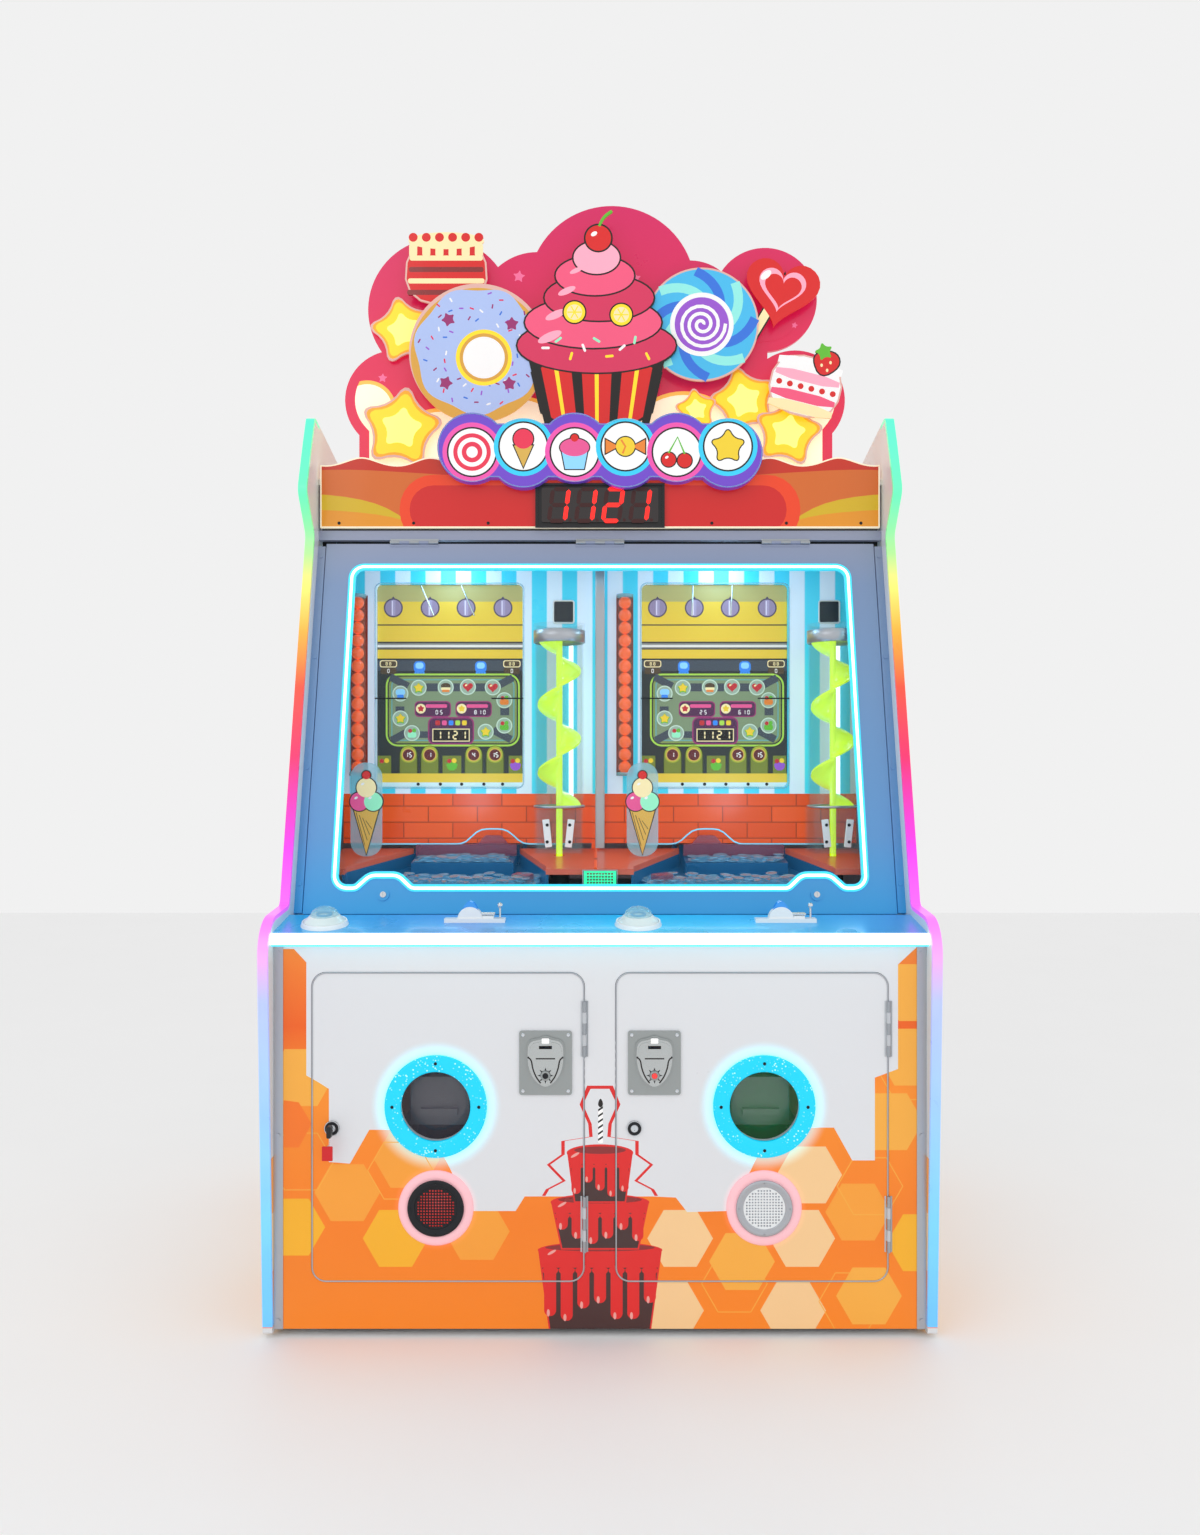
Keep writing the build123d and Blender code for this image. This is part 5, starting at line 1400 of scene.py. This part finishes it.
def sweets_row():
    """A plate of generic sweets icons in place of the lettering."""
    low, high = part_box("title_plate")
    front = low.y / MM
    thick = (high.y - low.y) / MM
    loops = face_loops("title_plate", 1, front)
    shapes = [("title_violet", box2(-360, 360, 1650, 1825))]
    for i, x in enumerate((-272, -163, -54, 54, 163, 272)):
        z = 1735 + (6 if i % 2 else -6)
        shapes.append(("title_cyan" if i % 2 else "title_pink", circle(x, z, 63)))
        shapes += outlined([("pure_white", circle(x, z, 50))], 3.5)
    icons = []
    x, z = -272, 1729
    for r, tone in ((40, "board_pink"), (31, "pure_white"), (22, "board_pink"), (12, "pure_white")):
        icons.append((tone, circle(x, z, r)))
    x, z = -163, 1741
    icons += outlined([("ui_gold", [(x, z - 44), (x + 20, z + 2), (x - 20, z + 2)]),
                       ("board_pink", circle(x, z + 16, 21))], 2.5)
    x, z = -54, 1729
    icons += outlined([("ui_sky", [(x - 20, z - 36), (x + 20, z - 36), (x + 27, z), (x - 27, z)]),
                       ("ui_pink", oval(x, z + 10, 31, 19)), ("cake_red", circle(x, z + 30, 8))], 2.5)
    x, z = 54, 1741
    icons += outlined([("ui_orange", [(x - 42, z - 15), (x - 42, z + 15), (x - 14, z)]),
                       ("ui_orange", [(x + 42, z - 15), (x + 14, z), (x + 42, z + 15)]),
                       ("ui_star", circle(x, z, 20))], 2.5)
    icons.append(("ui_orange", stroke([(x - 9, z + 14), (x, z), (x - 6, z - 15)], 4)))
    x, z = 163, 1729
    icons += outlined([("cake_red", circle(x - 17, z - 16, 15)),
                       ("cake_red", circle(x + 17, z - 18, 15))], 2.5)
    icons.append(("ui_green", stroke([(x - 17, z - 2), (x + 2, z + 32), (x + 17, z - 4)], 4)))
    icons.append(("pure_white", oval(x - 21, z - 11, 4, 2.6, 30)))
    x, z = 272, 1741
    icons += outlined([("ui_star", star(x, z, 40))], 2.5)
    sheet_art("title_icons", shapes + icons, front, thick, "cabinet", loops[:1], loops[1:],
              replaces=("title_plate",))
    edge = [(px, front - 0.2, pz) for px, pz in grown(loops[0], -2)]
    cable("title_edge", edge, 1.3, "clear_edge", "cabinet", closed=True)


CLOUDS = ((-556, 1914, 60), (-500, 1840, 80), (-380, 1790, 118), (-200, 1800, 138), (0, 1790, 148),
          (200, 1800, 148),
          (380, 1800, 128), (520, 1840, 78), (550, 1900, 58))


def topper():
    board_front = 197.6
    loops = face_loops("topper_board", 1, 198.0)
    shapes = [("board_pink", grown(loops[0], -1))]
    for x, z, r in CLOUDS:
        shapes.append(("cloud_rim", circle(x, z, r + 9, 56)))
    for x, z, r in CLOUDS:
        shapes.append(("cloud", circle(x, z, r, 56)))
    shapes.append(("cloud", box2(-560, 560, 1690, 1800)))
    for i in range(26):
        angle = i * 2.4
        reach = 70 + 19 * i
        x, z = reach * math.cos(angle), 2080 + 0.55 * reach * math.sin(angle)
        shapes.append(("spark", star(x, z, 9 + 4 * (i % 3), 0.4, 20 * i)))
    sheet_art("topper_print", shapes, board_front - 0.6, 0.6, "cabinet", [grown(loops[0], -24)], loops[1:])
    stars = ((-466, 2098, 92, 12, 182), (-471, 1863, 112, -8, 176), (343, 1931, 94, 14, 184),
             (446, 1854, 95, -10, 177))
    for i, (x, z, r, turn, front) in enumerate(stars):
        figure(f"topper_star_{i + 1}", star_with_painted_shading(x, z, r, turn), front)
    figure("topper_star_small", star_with_painted_shading(228, 1905, 58, 8), 170)
    figure("topper_donut", donut(-287, 2034, 158), 152)
    figure("topper_layer_cake", layer_cake(), 164)
    figure("topper_cupcake", cupcake(), 150, replaces=("topper_cutout",))
    figure("topper_swirl_sweet", swirl_sweet(240, 2103), 160)
    figure("topper_heart_pop", heart_pop(), 166)
    figure("topper_shortcake", shortcake(), 158)


def figure(name, shapes, front, thick=6.0, replaces=()):
    sheet_art(name, shapes, front, thick, "cabinet", replaces=replaces)


def star_with_painted_shading(x, z, r, turn):
    # A flat star in rings: the amber rim is painted shade and the bright middle is painted highlight of a
    # domed star.
    return [("star_edge", star(x, z, r, 0.56, turn)), ("star_amber", star(x, z, r * 0.93, 0.56, turn)),
            ("star_yellow", star(x, z, r * 0.84, 0.56, turn)),
            ("star_painted_highlight", star(x, z, r * 0.5, 0.56, turn))]


def donut(x, z, r):
    shapes = [("star_edge", circle(x, z, r + 4, 72)), ("donut_brown", circle(x, z - 6, r, 72))]
    icing = []
    for i in range(72):
        angle = 2 * math.pi * i / 72
        reach = r * (0.93 + 0.035 * math.sin(7 * angle))
        icing.append((x + reach * math.cos(angle), z + 4 + reach * math.sin(angle)))
    shapes.append(("donut_blue", icing))
    tones = ("board_pink", "ui_magenta", "ui_violet", "pure_white", "sweet_blue")
    for i in range(54):
        angle = i * 2.399
        reach = 72 + 72 * ((i * 37) % 54) / 54
        shapes.append((tones[i % 5], pill(x + reach * math.cos(angle), z + 3 + reach * math.sin(angle),
                                          11, 3.6, 1.7, 40 * i)))
    for i in range(4):
        angle = 0.7 + i * 1.6
        shapes.append(("ui_magenta", star(x + 104 * math.cos(angle), z + 104 * math.sin(angle), 19, 0.5,
                                          25 * i)))
    hx, hz = x + 14, z - 12
    shapes += [("star_yellow", circle(hx, hz, 66, 56)), ("donut_brown", circle(hx, hz, 57, 56)),
               ("pure_white", circle(hx, hz, 49, 56))]
    return shapes


def layer_cake():
    x, low, high = -363.0, 2154.0, 2308.0
    half = 97.0
    base = [("cake_red", softened([(x - half, low), (x + half, low), (x + half * 0.9, high),
                                   (x - half * 0.9, high)], 2))]
    shapes = outlined(base, 4, "star_edge")
    for i, tone in enumerate(("cake_dark_red", "ui_cream", "cake_dark_red", "ui_cream")):
        z = low + 26 + 27 * i
        shapes.append((tone, pill(x, z, 2 * half * (0.95 - 0.02 * i), 12, 5)))
    shapes.append(("ui_cream", oval(x, high - 6, half * 0.92, 20)))
    for i in range(6):
        cx = x - 78 + 31 * i
        shapes += [("ui_cream", pill(cx, high - 28, 19, 36, 9)), ("cake_red", circle(cx, high + 2, 10.5))]
    return shapes


def cupcake():
    x = -8.0
    cup = [(x - 118, 1850), (x + 118, 1850), (x + 160, 2030), (x - 160, 2030)]
    shapes = outlined([("cake_red", softened(cup, 1))], 5)
    for i in range(7):
        top, low = x - 150 + 50 * i, x - 110 + 37 * i
        if i % 2 == 0:
            shapes.append(("ink", [(low - 9, 1853), (low + 9, 1853), (top + 13, 2028), (top - 13, 2028)]))
        else:
            shapes.append(("star_yellow", [(low - 4, 1853), (low + 4, 1853), (top + 5, 2028),
                                           (top - 5, 2028)]))
    lobes = [("frost_deep", oval(x, 2050, 186, 64)), ("frost", oval(x - 8, 2104, 160, 60)),
             ("frost_deep", oval(x + 6, 2162, 128, 54)),
             ("frost", oval(x - 4, 2214, 92, 46)), ("frost_light", oval(x, 2256, 54, 38))]
    for lobe in lobes:
        shapes += outlined([lobe], 4)
    for cx, cz, a in ((x - 110, 2070, 30), (x - 96, 2122, 26), (x - 70, 2178, 22), (x - 48, 2226, 16)):
        shapes.append(("frost_light", oval(cx, cz, a, a * 0.34, 24)))
    for cx, cz, r in ((x - 52, 2128, 25), (x + 58, 2122, 25)):
        shapes += outlined([("star_yellow", circle(cx, cz, r))], 3.5)
        shapes.append(("ui_cream", circle(cx, cz, r * 0.72)))
        for i in range(6):
            tip = (cx + r * 0.66 * math.cos(i * math.pi / 3), cz + r * 0.66 * math.sin(i * math.pi / 3))
            shapes.append(("star_yellow", stroke([(cx, cz), tip], 3)))
    shapes += outlined([("cake_red", circle(x + 4, 2302, 30))], 4)
    shapes.append(("pure_white", oval(x - 6, 2312, 8, 5, 30)))
    shapes.append(("ui_green", stroke(smooth_line([(x + 6, 2330), (x + 16, 2352), (x + 36, 2366)]), 6)))
    for i in range(9):
        cx, cz = x - 120 + 30 * i, 2044 + 22 * math.sin(2.1 * i)
        shapes.append((("pure_white", "ui_mint", "star_yellow")[i % 3], pill(cx, cz, 20, 6, 2.9, 37 * i)))
    return shapes


def swirl_sweet(x, z):
    shapes = [("star_edge", circle(x, z, 134, 64)), ("sweet_cyan", circle(x, z, 130, 64))]
    for i in range(8):
        arm = []
        for j in range(9):
            share = j / 8
            angle = i * math.pi / 4 + 0.9 * share
            arm.append((x + (62 + 64 * share) * math.cos(angle), z + (62 + 64 * share) * math.sin(angle)))
        shapes.append(("sweet_blue" if i % 2 else "sweet_mint", stroke(arm, 22)))
    shapes += [("pure_white", circle(x, z, 75, 56)), ("ui_violet", circle(x, z, 64, 56))]
    spiral = []
    for i in range(60):
        reach = 4 + 52 * i / 59
        spiral.append((x + reach * math.cos(0.32 * i), z + reach * math.sin(0.32 * i)))
    shapes.append(("pure_white", stroke(spiral, 8)))
    return shapes


def heart_pop():
    stick = pill(389, 2126, 20, 160, 9, -31)
    shapes = outlined([("ui_cream", stick)], 3.5)
    return shapes + outlined([("cake_red", heart(429, 2188, 88, -12))], 5) + [
        ("frost_light", heart(429, 2192, 56, -12)), ("cake_red", heart(431, 2188, 44, -12)),
        ("pure_white", oval(392, 2222, 15, 8, 40))]


def shortcake():
    x, z, turn = 489, 1965, -14
    layers = (("ui_cream", -62, 26), ("frost", -36, 24), ("pure_white", -12, 22), ("frost_light", 12, 24),
              ("pure_white", 40, 30))
    outline = turned(box2(x - 84, x + 78, z - 76, z + 58), x, z, turn)
    shapes = outlined([("pure_white", softened(outline, 2))], 4, "star_edge")
    for tone, dz, tall in layers:
        bar = turned(box2(x - 80, x + 74, z + dz - tall / 2, z + dz + tall / 2), x, z, turn)
        shapes.append((tone, softened(bar, 1)))
    for i in range(6):
        spot = turned([(x - 66 + 26 * i, z - 12)], x, z, turn)[0]
        shapes.append(("cake_red", circle(spot[0], spot[1], 7)))
    berry = [(520, 1975), (500, 2022), (522, 2040), (560, 2034), (566, 2002)]
    shapes += outlined([("cake_red", softened(berry, 2))], 3.5)
    shapes += [("ui_green", star(528, 2038, 24, 0.5, 15)), ("ui_cream", oval(522, 2006, 3, 4)),
               ("ui_cream", oval(543, 2012, 3, 4)),
               ("ui_cream", oval(535, 1994, 3, 4))]
    return shapes


# ---------------------------------------------------------------- finishes of the prints, then every piece
def print_finishes():
    # The emission on these finishes is painted glow that brightens the coin guards, the speaker cone and the
    # prints of the marquee, title plate and topper.
    finish("guard_blue", "2F8FE0", 0.15, metal=0.4, emit=0.25, coat=0.6)
    finish("speaker_backing", "B9BCC4", 0.5, emit=0.12)
    for name, code, glow in (("sign_orange", "C8601A", 0.24), ("sign_yellow", "C9A50A", 0.24),
                             ("sign_gold", "D98A12", 0.24),
                             ("sign_red", "BB2405", 0.24), ("sign_ember", "E03A08", 0.26),
                             ("sign_capsule", "C40F0C", 0.26),
                             ("sign_cream", "F5E7C8", 0.29), ("title_violet", "6A3FC0", 0.24),
                             ("title_cyan", "2BC3E8", 0.29),
                             ("title_pink", "E84FA8", 0.24), ("cloud", "F8E8CC", 0.5),
                             ("cloud_rim", "F0B24A", 0.45),
                             ("spark", "EE6C9A", 0.24), ("star_edge", "E9B9AE", 0.08),
                             # The amber finish and the lightest yellow finish on the next two lines are the
                             # painted shade and painted highlight of the domed topper stars.
                             ("star_amber", "F5A21A", 0.34),
                             ("star_yellow", "F2CF1E", 0.39), ("star_painted_highlight", "FFF27A", 0.55),
                             ("donut_brown", "DDA43A", 0.13),
                             ("donut_blue", "A9BDEB", 0.19), ("frost", "F2557E", 0.16),
                             ("frost_deep", "D82A5A", 0.13),
                             ("frost_light", "FFA9C0", 0.19), ("sweet_cyan", "3FB7E8", 0.19),
                             ("sweet_blue", "2A6FD8", 0.19),
                             ("sweet_mint", "8FE8E0", 0.19), ("sweet_navy", "1B2A6E", 0.08)):
        finish(name, code, 0.32, vary=0.03, scale=8, coat=0.3, emit=glow)


print_finishes()
side_prints()
portholes()
speakers()
coin_plates()
door_locks()
start_buttons()
console_details()
window_strip()
screens()
divider()
head_shade_strips()
ball_columns()
lifts()
figures()
playfields()
marquee()
display()
sweets_row()
topper()


# ---------------------------------------------------------------- floor, lights and camera
def area_light(name, spot, aim, size, power, tint="FFFFFF"):
    data = bpy.data.lights.new(name, "AREA")
    data.shape = "RECTANGLE"
    data.size, data.size_y = size
    data.energy = power
    data.color = colour(tint)[:3]
    light = bpy.data.objects.new(name, data)
    light.location = spot
    light.rotation_euler = (Vector(aim) - Vector(spot)).to_track_quat("-Z", "Y").to_euler()
    bpy.context.scene.collection.objects.link(light)


def glow_light(name, spot, power, tint, radius=0.03):
    data = bpy.data.lights.new(name, "POINT")
    data.energy = power
    data.color = colour(tint)[:3]
    data.shadow_soft_size = radius
    light = bpy.data.objects.new(name, data)
    light.location = Vector(spot) * MM
    bpy.context.scene.collection.objects.link(light)


def studio():
    tree, shader, coords = start_material("floor")[1:]
    dress(tree, shader, coords, colour("F7F7F7"), 0.6, 0.01, 3, 0)
    bm = bmesh.new()
    bmesh.ops.create_grid(bm, x_segments=8, y_segments=8, size=6.0)
    for vert in bm.verts:
        vert.co.z = FLOOR_Z
    floor = from_bmesh("studio_floor", bm, "floor")
    world = bpy.data.worlds.new("studio")
    world.use_nodes = True
    world.node_tree.nodes["Background"].inputs["Color"].default_value = (1, 1, 1, 1)
    world.node_tree.nodes["Background"].inputs["Strength"].default_value = 0.88
    scene = bpy.context.scene
    scene.world = world
    scene.view_settings.view_transform = "Standard"
    area_light("key_light", (-2.2, -3.4, 3.2), (0, 0, 1.2), (2.4, 2.4), 14)
    area_light("fill_light", (2.6, -3.0, 2.4), (0, 0, 1.0), (2.4, 2.4), 7)
    for side, sign in SIDES.items():
        x = sign * STATION
        glow_light("bay_light_" + side, (x - 30, -34, 1500), 0.5, "C8F0FF", 0.05)
        glow_light("deck_light_" + side, (x, -180, 985), 0.35, "A8E4FF", 0.04)
    glow_light("porthole_left_glow", (ring["left"].x, -360, ring["left"].z), 0.25, "8A4CFF")
    glow_light("porthole_right_glow", (ring["right"].x, -360, ring["right"].z), 0.5, "20FF60")


def camera():
    data = bpy.data.cameras.new("front_camera")
    data.sensor_width = 36
    data.sensor_fit = "AUTO"
    data.lens = 27.86
    data.clip_start = 0.05
    holder = bpy.data.objects.new("front_camera", data)
    holder.location = (0, -2.640, 1.0585)
    holder.rotation_euler = (math.radians(90), 0, 0)
    bpy.context.scene.collection.objects.link(holder)
    bpy.context.scene.camera = holder


studio()
camera()
